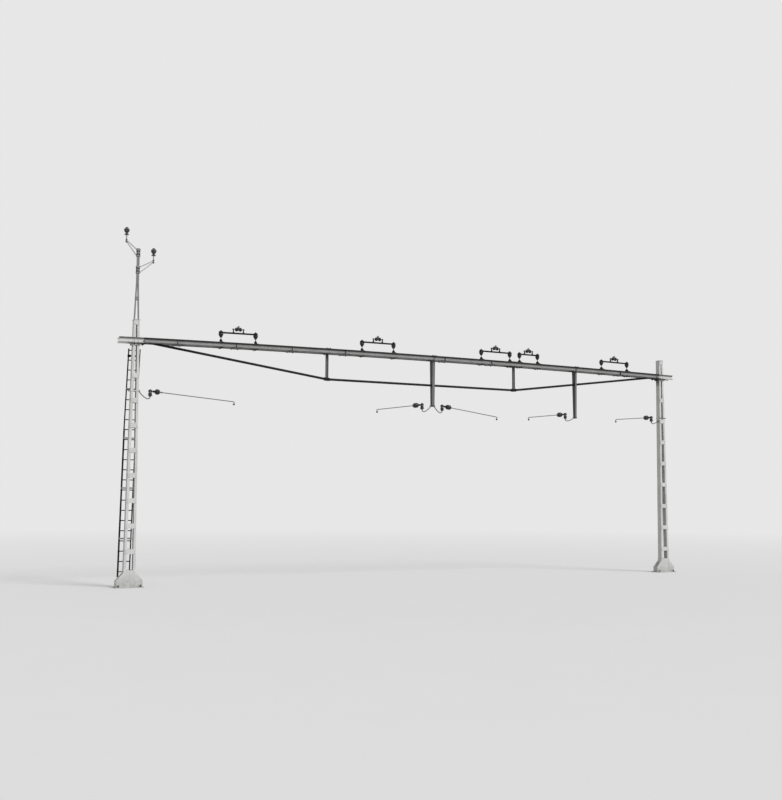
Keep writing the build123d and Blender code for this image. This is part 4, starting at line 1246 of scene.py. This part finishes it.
@dataclass
class MessengerCarriers:
    """Porcelain, skirts, ribs, tubes and bolts of all carriers on the beam, each kind made together."""

    portal: Portal
    places: tuple[float, ...] = (3.5442, 8.8902, 13.9458, 15.4594, 19.635)
    spacings: tuple[float, ...] = (1.2496, 1.2804, 1.2892, 0.8404, 1.2892)
    plate_thick: float = 0.01
    rib_size: Size = (0.05, 0.25, 0.098)
    rib_top_share: float = 0.32
    collar_rise: float = 0.11
    post_rise: float = 0.18
    post_outline: Outline = (
        (0.0, 0.0), (0.044, 0.0), (0.046, 0.004), (0.046, 0.022), (0.054, 0.038), (0.066, 0.056),
        (0.076, 0.076), (0.085, 0.094), (0.087, 0.112), (0.083, 0.124), (0.074, 0.133), (0.061, 0.14),
        (0.0, 0.14))
    skirt_rise: float = 0.3165
    skirt_outline: Outline = (
        (0.0, 0.0), (0.07, 0.0), (0.078, 0.006), (0.08, 0.02), (0.078, 0.046), (0.072, 0.064), (0.06, 0.08),
        (0.044, 0.092), (0.0, 0.0935))
    bar_rise: float = 0.352
    cap_rise: float = 0.4105
    tube_radius: float = 0.0305
    tube_short: float = 0.045
    cross_axis: float = 0.14
    cross_outline: Outline = (
        (0.0, 0.0), (0.042, 0.0), (0.046, 0.004), (0.06, 0.018), (0.07, 0.028), (0.072, 0.036),
        (0.069, 0.043), (0.063, 0.049), (0.069, 0.056), (0.072, 0.064), (0.068, 0.073), (0.056, 0.083),
        (0.042, 0.094), (0.031, 0.103), (0.0, 0.104))
    lug_outer: float = 0.195
    clamp_half: float = 0.022
    clamp_bolt_rise: float = 0.078
    clamp_bolt_half: float = 0.026
    foot_bolt: Bolt = Bolt(0.034, 0.016, washer=0.022)
    collar_nut: Bolt = Bolt(0.036, 0.018, washer=0.023, stub=0.01)
    lug_nut: Bolt = Bolt(0.036, 0.018, washer=0.022, stub=0.01)
    clamp_bolt: Bolt = Bolt(0.024, 0.012, washer=0.015, stub=0.006)

    def posts(self, rise: float = 0.0) -> list[Matrix]:
        """Places under all posts on the beam's top, or a rise above it."""
        return [self.portal.seat(place + side * spacing / 2, rise)
                for place, spacing in zip(self.places, self.spacings) for side in BOTH]

    def bars(self) -> list[Matrix]:
        """Find the middle of every carrier's bar.

        Returns:
            The places, X along the bar and Z up.
        """
        ends = [post.translation for post in self.posts(self.bar_rise)]
        return [axes((right - left).normalized(), Vector((0, 1, 0)), (left + right) / 2)
                for left, right in zip(ends[::2], ends[1::2])]

    def on_cross_axis(self, out: float) -> list[Matrix]:
        """Places on both sides of every cross insulator's middle, Z away from it."""
        return [bar @ facing((side * out, 0, self.cross_axis), (side, 0, 0))
                for bar in self.bars() for side in BOTH]

    def foot_bolts(self) -> list[Matrix]:
        """List the bolts beside the feet, their heads above and their nuts below the beam.

        Returns:
            The places of heads and nuts.
        """
        below = -self.portal.beam_height - self.portal.fit_gap - self.plate_thick
        sides = [face * self.portal.flange_middle() for face in BOTH]
        return [post @ end for post in self.posts() for side in sides
                for end in (move(0, side, self.plate_thick), facing((0, side, below), (0, 0, -1)))]

    def clamp_bolts(self) -> list[Matrix]:
        """List the bolts of the wire clamps, on both sides of each.

        Returns:
            The places of the bolts.
        """
        level = self.cross_axis + self.clamp_bolt_rise
        return [bar @ facing((side * self.clamp_half, face * self.clamp_bolt_half, level), (side, 0, 0))
                for bar in self.bars() for side in BOTH for face in BOTH]

    def build(self, shop: Workshop) -> None:
        """Make every kind of piece of the carriers.

        Args:
            shop: The workshop that finishes them.
        """
        shop.add_porcelain("carrier_post_porcelain", "carrier_post_insulators", self.post_outline,
                           self.posts(self.post_rise), rounding=0.004)
        skirt = turned(self.skirt_outline, 0.003)
        shop.add("carrier_cap_skirts", Slot.CAST, (skirt, self.posts(self.skirt_rise)), smooth=50.0)
        for number, (bar, spacing) in enumerate(zip(self.bars(), self.spacings), 1):
            reach = spacing - 2 * self.tube_short
            tube = round_bar(self.tube_radius, reach, 0.002, 24)
            place = bar @ facing((-reach / 2, 0, 0), (1, 0, 0))
            shop.add(f"carrier_{number}_tube", Slot.CAST, (tube, [place]))
        rib = block(self.rib_size, 0.004, self.rib_top_share, 2)
        shop.add("carrier_foot_ribs", Slot.CAST, (rib, self.posts(self.plate_thick + self.rib_size[2] / 2)))
        shop.add_porcelain("carrier_cross_porcelain", "carrier_cross_insulators", self.cross_outline,
                           self.on_cross_axis(self.clamp_half))
        shop.add("carrier_foot_bolts", Slot.CAST, self.foot_bolt.at(self.foot_bolts()))
        shop.add("carrier_collar_nuts", Slot.CAST,
                 self.collar_nut.at(self.posts(self.collar_rise) + self.posts(self.cap_rise)))
        shop.add("carrier_lug_nuts", Slot.CAST, self.lug_nut.at(self.on_cross_axis(self.lug_outer)))
        shop.add("carrier_clamp_bolts", Slot.CAST, self.clamp_bolt.at(self.clamp_bolts()))


@dataclass
class SteadyArm:
    """One steady arm: its egg insulator with ferrules, the sleeve at its pin, and the clip at its end."""

    number: int
    side: int
    pin: tuple[float, float]
    tip: tuple[float, float]
    egg_share: float = 1.0
    egg_start: float = 0.152
    egg_length: float = 0.235
    egg_outline: Outline = (
        (0.0, 0.0), (0.025, 0.0), (0.044, 0.006), (0.067, 0.022), (0.084, 0.044), (0.092, 0.066),
        (0.094, 0.08), (0.09, 0.09), (0.087, 0.096), (0.091, 0.103), (0.094, 0.116), (0.094, 0.13),
        (0.091, 0.141), (0.087, 0.148), (0.09, 0.155), (0.092, 0.166), (0.084, 0.19), (0.068, 0.211),
        (0.048, 0.228), (0.031, 0.235), (0.0, 0.235))
    ring_gap: float = 0.001
    ring_outline: Outline = ((0.0, 0.0), (0.036, 0.0), (0.036, 0.012), (0.03, 0.018), (0.0, 0.018))
    sleeve_start: float = 0.078
    sleeve_outline: Outline = (
        (0.0, 0.0), (0.028, 0.0), (0.036, 0.01), (0.037, 0.02), (0.036, 0.056), (0.038, 0.062),
        (0.038, 0.071), (0.0, 0.071))
    socket_radii: tuple[float, float] = (0.03, 0.018)
    socket_lap: float = 0.004
    bend_radius: float = 0.05
    bend_turn: float = 110.0
    jaw_size: Size = (0.05, 0.046, 0.038)
    jaw_drop: float = 0.027
    jaw_bolt: Bolt = Bolt(0.024, 0.012, washer=0.015)

    def pin_place(self) -> Matrix:
        """Place at the pin, X along the arm and Z up across it."""
        along = Vector((self.tip[0] - self.pin[0], 0, self.tip[1] - self.pin[1])).normalized()
        return axes(along, Vector((0, self.side, 0)), (self.pin[0], 0, self.pin[1]))

    def on_rod(self, distance: float, sense: int = 1) -> Matrix:
        """Place on the arm's axis at a distance from the pin, Z away from the pin or, for -1, towards it."""
        return self.pin_place() @ facing((distance, 0, 0), (sense, 0, 0))

    def clip_place(self) -> Matrix:
        """Find the middle of the clip at the turned-down end.

        Returns:
            The place, Z along the clip.
        """
        turn = math.radians(self.bend_turn)
        reach = math.dist(self.pin, self.tip) - self.bend_radius * (1 - math.sin(turn))
        bend = Vector((reach, 0, -self.bend_radius * (1 - math.cos(turn))))
        down = Vector((math.cos(turn), 0, -math.sin(turn)))
        return self.pin_place() @ facing(bend + down * self.jaw_drop, down)

    def socket(self) -> Batch:
        """Shape the long socket between a short insulator and the rod.

        Returns:
            The socket with its place.
        """
        start = self.egg_start + self.egg_share * self.egg_length - self.socket_lap
        reach = self.egg_start + self.egg_length - start
        outline = ((0.0, 0.0), (self.socket_radii[0], 0.0), (self.socket_radii[1], reach), (0.0, reach))
        return turned(outline, 0.002, 24), [self.on_rod(start)]

    def build(self, shop: Workshop) -> None:
        """Make the pieces that swing with the arm.

        Args:
            shop: The workshop that finishes them.
        """
        body = f"steady_arm_{self.number}_body"
        egg = tuple((radius, self.egg_share * height) for radius, height in self.egg_outline)
        shop.add_porcelain(f"arm_{self.number}_porcelain", f"arm_insulator_{self.number}", egg,
                           [self.on_rod(self.egg_start)], body=body)
        if self.egg_share < 1.0:
            shop.add(f"arm_{self.number}_socket", Slot.STEEL, self.socket(), body=body)
        rings = [self.on_rod(self.egg_start - self.ring_gap, -1),
                 self.on_rod(self.egg_start + self.egg_length + self.ring_gap)]
        shop.add(f"arm_{self.number}_ferrules", Slot.STEEL, (turned(self.ring_outline, 0.002, 24), rings),
                 body=body)
        shop.add(f"arm_{self.number}_sleeve", Slot.CAST,
                 (turned(self.sleeve_outline, 0.002, 28), [self.on_rod(self.sleeve_start)]), body=body)
        clip = self.clip_place()
        bolts = [clip @ outward(0, face * self.jaw_size[1] / 2, 0) for face in BOTH]
        shop.add(f"arm_{self.number}_clip_jaws", Slot.CAST, (block(self.jaw_size, 0.006), [clip]),
                 self.jaw_bolt.at(bolts), body=body)


@dataclass
class SteadyArms:
    """The five steady arms with their stands, and the bolts of what holds them."""

    portal: Portal
    arms: tuple[SteadyArm, ...] = (
        SteadyArm(1, 1, (0.53, 6.49), (3.4442, 6.262), egg_share=0.74),
        SteadyArm(2, -1, (10.7294, 6.49), (8.8502, 6.225)),
        SteadyArm(3, 1, (11.5794, 6.475), (14.0058, 6.15)),
        SteadyArm(4, -1, (17.1806, 6.39), (15.4294, 6.195)),
        SteadyArm(5, -1, (21.51, 6.435), (19.66, 6.275)),
    )
    stand_rise: float = -0.178
    stand_outline: Outline = (
        (0.0, 0.0), (0.026, 0.0), (0.044, 0.007), (0.066, 0.014), (0.076, 0.021), (0.078, 0.028),
        (0.074, 0.034), (0.064, 0.042), (0.058, 0.048), (0.057, 0.056), (0.063, 0.068), (0.067, 0.084),
        (0.064, 0.099), (0.053, 0.113), (0.044, 0.12), (0.0, 0.12))
    cap_rise: float = -0.061
    cap_outline: Outline = (
        (0.0, 0.0), (0.05, 0.0), (0.055, 0.005), (0.056, 0.012), (0.054, 0.022), (0.048, 0.0265),
        (0.0, 0.0265))
    cheek_out: float = 0.0238
    boss_outline: Outline = (
        (0.0, 0.0), (0.058, 0.0), (0.059, 0.002), (0.058, 0.005), (0.034, 0.007), (0.0, 0.007))
    pin_head_out: float = 0.0298
    pin_head_outline: Outline = ((0.0, 0.0), (0.019, 0.0), (0.019, 0.006), (0.013, 0.011), (0.0, 0.012))
    drop_roots: tuple[tuple[float, int, float], ...] = (
        (11.1114, -1, 6.454), (11.2274, 1, 6.454), (17.6086, -1, 6.264))
    hook_levels: tuple[float, float] = (6.48, 6.285)
    hook_nut: Bolt = Bolt(0.05, 0.02)
    collar_reach: float = 0.032
    pad_rim: float = 0.036
    pad_bolt: Bolt = Bolt(0.022, 0.011, washer=0.014, stub=0.005)
    pad_bolt_half: float = 0.033
    pad_bolt_rises: tuple[float, float] = (-0.022, 0.02)
    strap_levels: tuple[float, float] = (6.47, 6.415)
    strap_thick: float = 0.01
    strap_overrun: float = 0.038
    strap_bolt: Bolt = Bolt(0.026, 0.013, washer=0.014, stub=0.006)
    shank_radius: float = 0.009

    def above_pins(self, rise: float) -> list[Matrix]:
        """Places above all pins, or below them where negative."""
        return [move(arm.pin[0], 0, arm.pin[1] + rise) for arm in self.arms]

    def beside_pins(self, out: float) -> list[Matrix]:
        """Places on both sides of all pins, at a distance from the middle plane."""
        return [outward(arm.pin[0], face * out, arm.pin[1]) for arm in self.arms for face in BOTH]

    def yoke_roots(self) -> list[tuple[float, int, float]]:
        """Find where the two hooks start that the masts hold.

        Returns:
            Place along the beam, side and level of each.
        """
        roots = []
        for middle, side, level in zip((0.0, self.portal.span), (1, -1), self.hook_levels):
            reach = self.portal.mast_half_width(level - self.pad_rim) + self.portal.fit_gap + self.strap_thick
            roots.append((middle + side * reach, side, level))
        return roots

    def hook_nuts(self) -> list[Matrix]:
        """List the nuts round the hooks' roots and under the stands.

        Returns:
            The places of the nuts.
        """
        places = [facing((x + side * self.collar_reach, 0, level), (side, 0, 0))
                  for x, side, level in self.yoke_roots() + list(self.drop_roots)]
        downward = Matrix.Rotation(math.pi, 4, "X")
        return places + [stand @ downward for stand in self.above_pins(self.stand_rise)]

    def pad_bolts(self) -> list[Matrix]:
        """Places of the four bolts on each mast's pad."""
        return [facing((x, face * self.pad_bolt_half, level + rise), (side, 0, 0))
                for x, side, level in self.yoke_roots() for face in BOTH for rise in self.pad_bolt_rises]

    def strap_bolts(self) -> list[Batch]:
        """Shape the bolts that close the straps behind the masts, each with a head at both ends.

        Returns:
            The shanks and the heads with their places.
        """
        out = self.portal.mast_depth / 2 + self.strap_thick
        batches = []
        for middle, side, level in zip((0.0, self.portal.span), BOTH, self.strap_levels):
            x = middle + side * (self.portal.mast_half_width(level) + self.strap_overrun)
            shank = round_bar(self.shank_radius, 2 * out, 0.001, 16)
            batches.append((shank, [facing((x, -out, level), (0, 1, 0))]))
            batches.append(self.strap_bolt.at([outward(x, face * out, level) for face in BOTH]))
        return batches

    def build(self, shop: Workshop) -> None:
        """Make the arms, their stands and the bolts of what holds them.

        Args:
            shop: The workshop that finishes them.
        """
        for arm in self.arms:
            arm.build(shop)
        shop.add_porcelain("stand_porcelain", "steady_stand_insulators", self.stand_outline,
                           self.above_pins(self.stand_rise))
        shop.add("stand_caps", Slot.STEEL,
                 (turned(self.cap_outline, 0.002, 32), self.above_pins(self.cap_rise)), smooth=50.0)
        shop.add("stand_pin_heads", Slot.STEEL,
                 (turned(self.pin_head_outline, 0.002, 20), self.beside_pins(self.pin_head_out)))
        shop.add("clevis_bosses", Slot.CAST,
                 (turned(self.boss_outline, 0.0008, 28), self.beside_pins(self.cheek_out)))
        shop.add("hook_nuts", Slot.STEEL, self.hook_nut.at(self.hook_nuts()))
        shop.add("yoke_pad_bolts", Slot.CAST, self.pad_bolt.at(self.pad_bolts()))
        shop.add("yoke_strap_bolts", Slot.STEEL, *self.strap_bolts())


@dataclass
class FeederExtension:
    """Porcelain of the two feeders, clamp plates and bolts of their bands, and bolts of the tie plates."""

    tips: tuple[tuple[float, float], ...] = ((-0.405, 11.54), (0.515, 10.915))
    pin_rise: float = 0.192
    pin_nut: Bolt = Bolt(0.056, 0.024)
    pin_nut_rise: float = 0.037
    head_bolt: Bolt = Bolt(0.024, 0.012)
    head_bolt_out: float = 0.031
    head_bolt_rise: float = 0.02
    band_pairs: tuple[tuple[float, float], ...] = ((11.27, 11.055), (10.675, 10.48))
    band_half: float = 0.0533
    band_height: float = 0.05
    plate_width: float = 0.112
    plate_thick: float = 0.014
    clamp_bolt: Bolt = Bolt(0.036, 0.02, washer=0.024, stub=0.01)
    clamp_bolt_x: float = 0.034
    clamp_bolt_share: float = 0.24
    tie_level: float = 9.6
    tie_half: float = 0.0423
    tie_out: float = 0.043
    tie_bolt: Bolt = Bolt(0.026, 0.012, washer=0.016)
    tie_bolt_rise: float = 0.032
    outline: Outline = (
        (0.0, 0.0), (0.038, 0.0), (0.056, 0.003), (0.074, 0.009), (0.08, 0.015), (0.077, 0.022),
        (0.064, 0.034), (0.05, 0.048), (0.041, 0.058), (0.04, 0.082), (0.046, 0.089), (0.064, 0.093),
        (0.074, 0.107), (0.084, 0.134), (0.093, 0.163), (0.097, 0.18), (0.095, 0.191), (0.084, 0.208),
        (0.068, 0.223), (0.054, 0.233), (0.047, 0.239), (0.046, 0.246), (0.05, 0.252), (0.048, 0.259),
        (0.038, 0.265), (0.02, 0.268), (0.0, 0.268))

    def clamp(self, shop: Workshop) -> None:
        """Make the plates that clamp the bracket bars to the stem, and their bolts.

        Args:
            shop: The workshop that finishes them.
        """
        plates, bolts = [], []
        for upper, lower in self.band_pairs:
            height = upper - lower - self.band_height
            middle = (upper + lower) / 2
            rise = self.clamp_bolt_share * (upper - lower)
            out = self.band_half - self.plate_thick / 2
            plates.append((block((self.plate_width, self.plate_thick, height), 0.002),
                           [move(0, face * out, middle) for face in BOTH]))
            bolts += [outward(side * self.clamp_bolt_x, face * self.band_half, middle + step)
                      for side in BOTH for face in BOTH for step in (-rise, rise)]
        shop.add("feeder_clamp_plates", Slot.EXTENSION, *plates)
        shop.add("feeder_clamp_bolts", Slot.CAST, self.clamp_bolt.at(bolts))

    def build(self, shop: Workshop) -> None:
        """Make the feeders' porcelain, the clamp plates and the extension's bolts.

        Args:
            shop: The workshop that finishes them.
        """
        shop.add_porcelain("feeder_porcelain", "feeder_insulators", self.outline,
                           [move(x, 0, level + self.pin_rise) for x, level in self.tips])
        self.clamp(shop)
        heads = [outward(x, face * self.head_bolt_out, level + step * self.head_bolt_rise)
                 for x, level in self.tips for face in BOTH for step in BOTH]
        shop.add("feeder_head_bolts", Slot.CAST, self.head_bolt.at(heads))
        nuts = [facing((x, 0, level + step * self.pin_nut_rise), (0, 0, step))
                for x, level in self.tips for step in BOTH]
        shop.add("feeder_pin_nuts", Slot.CAST, self.pin_nut.at(nuts))
        ties = [outward(side * self.tie_half, face * self.tie_out, self.tie_level + step * self.tie_bolt_rise)
                for side in BOTH for face in BOTH for step in BOTH]
        shop.add("extension_tie_bolts", Slot.EXTENSION, self.tie_bolt.at(ties))


@dataclass(frozen=True)
class Rail:
    """Rails of one of the ladder's two lengths: width in X, depth in Y, stouter left width, place in Y."""

    width: float
    depth: float
    cover: float
    y: float


@dataclass
class Ladder:
    """Rung ends and sleeves, the left rail's stout outside, the head clamp and the ladder's bolts."""

    foot: tuple[float, float] = (-0.314, 0.33)
    lap: tuple[float, float] = (-0.244, 5.07)
    top: tuple[float, float] = (-0.161, 7.93)
    width: float = 0.38
    lap_half: float = 0.15
    lap_bolt_rise: float = 0.1
    lower: Rail = Rail(0.034, 0.046, 0.052, 0.268)
    upper: Rail = Rail(0.026, 0.038, 0.04, 0.31)
    cover_slack: float = 0.0005
    cover_rounding: float = 0.004
    rung_rise: float = 0.17
    rung_pitch: float = 0.335
    rung_count: int = 23
    rung_end_radius: float = 0.0125
    rung_end_height: float = 0.006
    sleeve_radius: float = 0.0165
    sleeve_drop: float = 0.01
    sleeve_slack: float = 0.002
    tie_levels: tuple[float, ...] = (1.585, 3.245, 4.905, 6.565, 7.68)
    tie_thick: float = 0.008
    bolt: Bolt = Bolt(0.022, 0.01, washer=0.013)
    head_clamp: Size = (0.1, 0.036, 0.085)
    head_clamp_x: float = 0.02

    def rail_x(self, level: float) -> float:
        """Middle of the left rail at a level."""
        start, end = (self.foot, self.lap) if level < self.lap[1] else (self.lap, self.top)
        return start[0] + (end[0] - start[0]) * (level - start[1]) / (end[1] - start[1])

    def rung_ends(self) -> list[Matrix]:
        """List the rungs' ends that show outside the rails.

        Returns:
            The places, left and right in turn.
        """
        places = []
        for i in range(self.rung_count):
            level = self.foot[1] + self.rung_rise + i * self.rung_pitch
            rail = self.lower if level < self.lap[1] + self.lap_half else self.upper
            x = self.rail_x(level)
            places += [facing((x - rail.cover / 2, rail.y, level), (-1, 0, 0)),
                       facing((x + self.width + rail.width / 2, rail.y, level), (1, 0, 0))]
        return places

    def rung_sleeves(self) -> Batch:
        """Shape the sleeve of a rung, from the left rail to the right one.

        Returns:
            The sleeve with its places.
        """
        sleeve = round_bar(self.sleeve_radius, self.lower.width + self.sleeve_slack - self.width, 0.001, 14)
        inward = move(0, 0, -self.lower.width - self.sleeve_drop)
        return sleeve, [place @ inward for place in self.rung_ends()[::2]]

    def rail_cover(self, rail: Rail, low: tuple[float, float], high: tuple[float, float]) -> Batch:
        """Shape the stout outside of one length of the left rail.

        Args:
            rail: The length's rail.
            low: Place along the beam and level of its foot.
            high: Place along the beam and level of its top.

        Returns:
            The bar with its place.
        """
        start, end = Vector((low[0], rail.y, low[1])), Vector((high[0], rail.y, high[1]))
        lean = Matrix.Rotation(math.atan2(end.x - start.x, end.z - start.z), 4, "Y")
        size = (rail.cover, rail.depth - self.cover_slack, (end - start).length)
        return block(size, self.cover_rounding), [Matrix.Translation((start + end) / 2) @ lean]

    def bolts(self) -> list[Matrix]:
        """List the bolts at the brackets and the lap.

        Returns:
            The places of the bolts.
        """
        places = []
        for level in self.tie_levels:
            rail = self.lower if level < self.lap[1] else self.upper
            for x in (self.rail_x(level), self.rail_x(level) + self.width):
                places.append(facing((x, rail.y - rail.depth / 2 - self.tie_thick, level), (0, -1, 0)))
                if rail is self.lower:
                    places.append(facing((x, rail.y + rail.depth / 2, level), (0, 1, 0)))
        for level in (self.lap[1] - self.lap_bolt_rise, self.lap[1] + self.lap_bolt_rise):
            places += [facing((x, self.lower.y - self.lower.depth / 2, level), (0, -1, 0))
                       for x in (self.rail_x(level), self.rail_x(level) + self.width)]
        return places

    def build(self, shop: Workshop) -> None:
        """Make the rungs' ends and sleeves, the rail's outside, the head clamp and the bolts.

        Args:
            shop: The workshop that finishes them.
        """
        rung_end = dome(self.rung_end_radius, self.rung_end_height)
        shop.add("ladder_rung_ends", Slot.LADDER, (rung_end, self.rung_ends()))
        shop.add("ladder_rung_sleeves", Slot.LADDER, self.rung_sleeves())
        slope = (self.lap[0] - self.foot[0]) / (self.lap[1] - self.foot[1])
        lap_top = (self.lap[0] + slope * self.lap_half, self.lap[1] + self.lap_half)
        shop.add("ladder_lower_rail_cover", Slot.LADDER, self.rail_cover(self.lower, self.foot, lap_top))
        shop.add("ladder_upper_rail_cover", Slot.LADDER, self.rail_cover(self.upper, self.lap, self.top))
        level = self.tie_levels[-1]
        clamp_place = move(self.rail_x(level) + self.head_clamp_x, self.upper.y, level)
        shop.add("ladder_head_clamp", Slot.LADDER, (block(self.head_clamp, 0.006), [clamp_place]))
        shop.add("ladder_bolts", Slot.LADDER, self.bolt.at(self.bolts()))


@dataclass
class Studio:
    """Plain pale floor that fades into the background, soft light and the camera."""

    background: Colour = (0.8, 0.8, 0.8)
    floor_colour: Colour = (0.72, 0.72, 0.72)
    floor_bounce: Colour = (0.3, 0.3, 0.3)
    floor_roughness: float = 0.9
    floor_relief: float = 0.001
    floor_radius: float = 400.0
    fade_start: float = 13.0
    fade_end: float = 75.0
    sky_light: float = 0.7
    sun_light: float = 1.9
    sun_spread: float = 25.0
    sun_turn: tuple[float, float] = (48.0, 32.0)
    camera_place: tuple[float, float, float] = (-6.621, -34.584, 2.754)
    camera_turns: tuple[float, float, float] = (24.907, 5.771, 0.272)
    image_width: float = 782.0
    focal_pixels: float = 1030.8
    sensor_width: float = 36.0

    def build(self) -> None:
        """Set the world, the floor, the sun and the camera."""
        self.set_world()
        self.lay_floor()
        self.hang_sun()
        self.stand_camera()

    def set_world(self) -> None:
        """Light the scene evenly and show a pale background to the camera, to gloss and to glass."""
        world = bpy.data.worlds.new("studio")
        bpy.context.scene.world = world
        world.use_nodes = True
        nodes = Nodes(world.node_tree)
        light = nodes.add("Background", Strength=self.sky_light).outputs["Background"]
        backdrop = nodes.add("Background", Color=self.background).outputs["Background"]
        nodes.add("OutputWorld", Surface=nodes.choose(nodes.seen(), light, backdrop))

    def floor_material(self, middle: float) -> bpy.types.Material:
        """Make a floor that is pale near the portal and turns into the background far from it.

        Args:
            middle: Place of the floor's middle along the beam.

        Returns:
            The floor's material.
        """
        sheet = Sheet("studio_floor")
        seen = sheet.seen()
        pale = sheet.mix(sheet.noise(0.6, 3.0), self.floor_colour, shade(self.floor_colour, 0.97))
        sheet.finish(sheet.mix(seen, self.floor_bounce, pale), self.floor_roughness, sheet.noise(8.0),
                     self.floor_relief)
        offset = sheet.math("SUBTRACT", sheet.along, middle)
        square = sheet.math("ADD", sheet.product(offset, offset), sheet.product(sheet.across, sheet.across))
        fade = sheet.band(sheet.math("SQRT", square, 0.0), self.fade_start, self.fade_end)
        far = sheet.add("Emission", Color=self.background).outputs["Emission"]
        sheet.feed(sheet.output.inputs["Surface"],
                   sheet.choose(sheet.product(fade, seen), sheet.shader.outputs["BSDF"], far))
        return sheet.material

    def lay_floor(self) -> None:
        """Lay a wide round floor under the portal."""
        disc = bmesh.new()
        middle = (cad_box[0][0] + cad_box[1][0]) / 2
        bmesh.ops.create_circle(disc, cap_ends=True, segments=96, radius=self.floor_radius,
                                matrix=move(middle, 0, 0))
        data = bpy.data.meshes.new("floor")
        disc.to_mesh(data)
        disc.free()
        data.materials.append(self.floor_material(middle))
        floor = bpy.data.objects.new("floor", data)
        bpy.context.scene.collection.objects.link(floor)

    def hang_sun(self) -> None:
        """Hang one broad, soft sun over the viewer's right shoulder."""
        lamp = bpy.data.lights.new("soft_sun", "SUN")
        lamp.energy = self.sun_light
        lamp.angle = math.radians(self.sun_spread)
        sun = bpy.data.objects.new("soft_sun", lamp)
        sun.rotation_euler = (math.radians(self.sun_turn[0]), 0, math.radians(self.sun_turn[1]))
        bpy.context.scene.collection.objects.link(sun)

    def stand_camera(self) -> None:
        """Stand the camera where the photograph was taken from."""
        yaw, pitch, roll = (math.radians(turn) for turn in self.camera_turns)
        ahead = Vector((math.sin(yaw) * math.cos(pitch), math.cos(yaw) * math.cos(pitch), math.sin(pitch)))
        level_right = Vector((math.cos(yaw), -math.sin(yaw), 0))
        level_up = level_right.cross(ahead)
        right = math.cos(roll) * level_right + math.sin(roll) * level_up
        up = math.cos(roll) * level_up - math.sin(roll) * level_right
        lens = bpy.data.cameras.new("camera")
        lens.sensor_fit = "HORIZONTAL"
        lens.sensor_width = self.sensor_width
        lens.lens = self.focal_pixels * self.sensor_width / self.image_width
        lens.clip_end = 2 * self.floor_radius
        camera = bpy.data.objects.new("camera", lens)
        camera.matrix_world = axes(right, up, self.camera_place)
        bpy.context.scene.collection.objects.link(camera)
        bpy.context.scene.camera = camera
        bpy.context.scene.view_settings.view_transform = "Standard"


def main() -> None:
    """Dress the frame, add the pieces and set the studio."""
    logging.basicConfig(level=logging.INFO)
    portal = Portal()
    shop = Workshop(portal)
    shop.dress_nodes()
    MastFixings(portal, "left", 0.0, batten_first=1.17, batten_pitch=0.83).build(shop)
    MastFixings(portal, "right", portal.span, batten_first=0.965, batten_pitch=0.885).build(shop)
    BeamFixings(portal).build(shop)
    TensionRod(portal).build(shop)
    MessengerCarriers(portal).build(shop)
    SteadyArms(portal).build(shop)
    FeederExtension().build(shop)
    Ladder().build(shop)
    Studio().build()


if __name__ == "__main__":
    main()
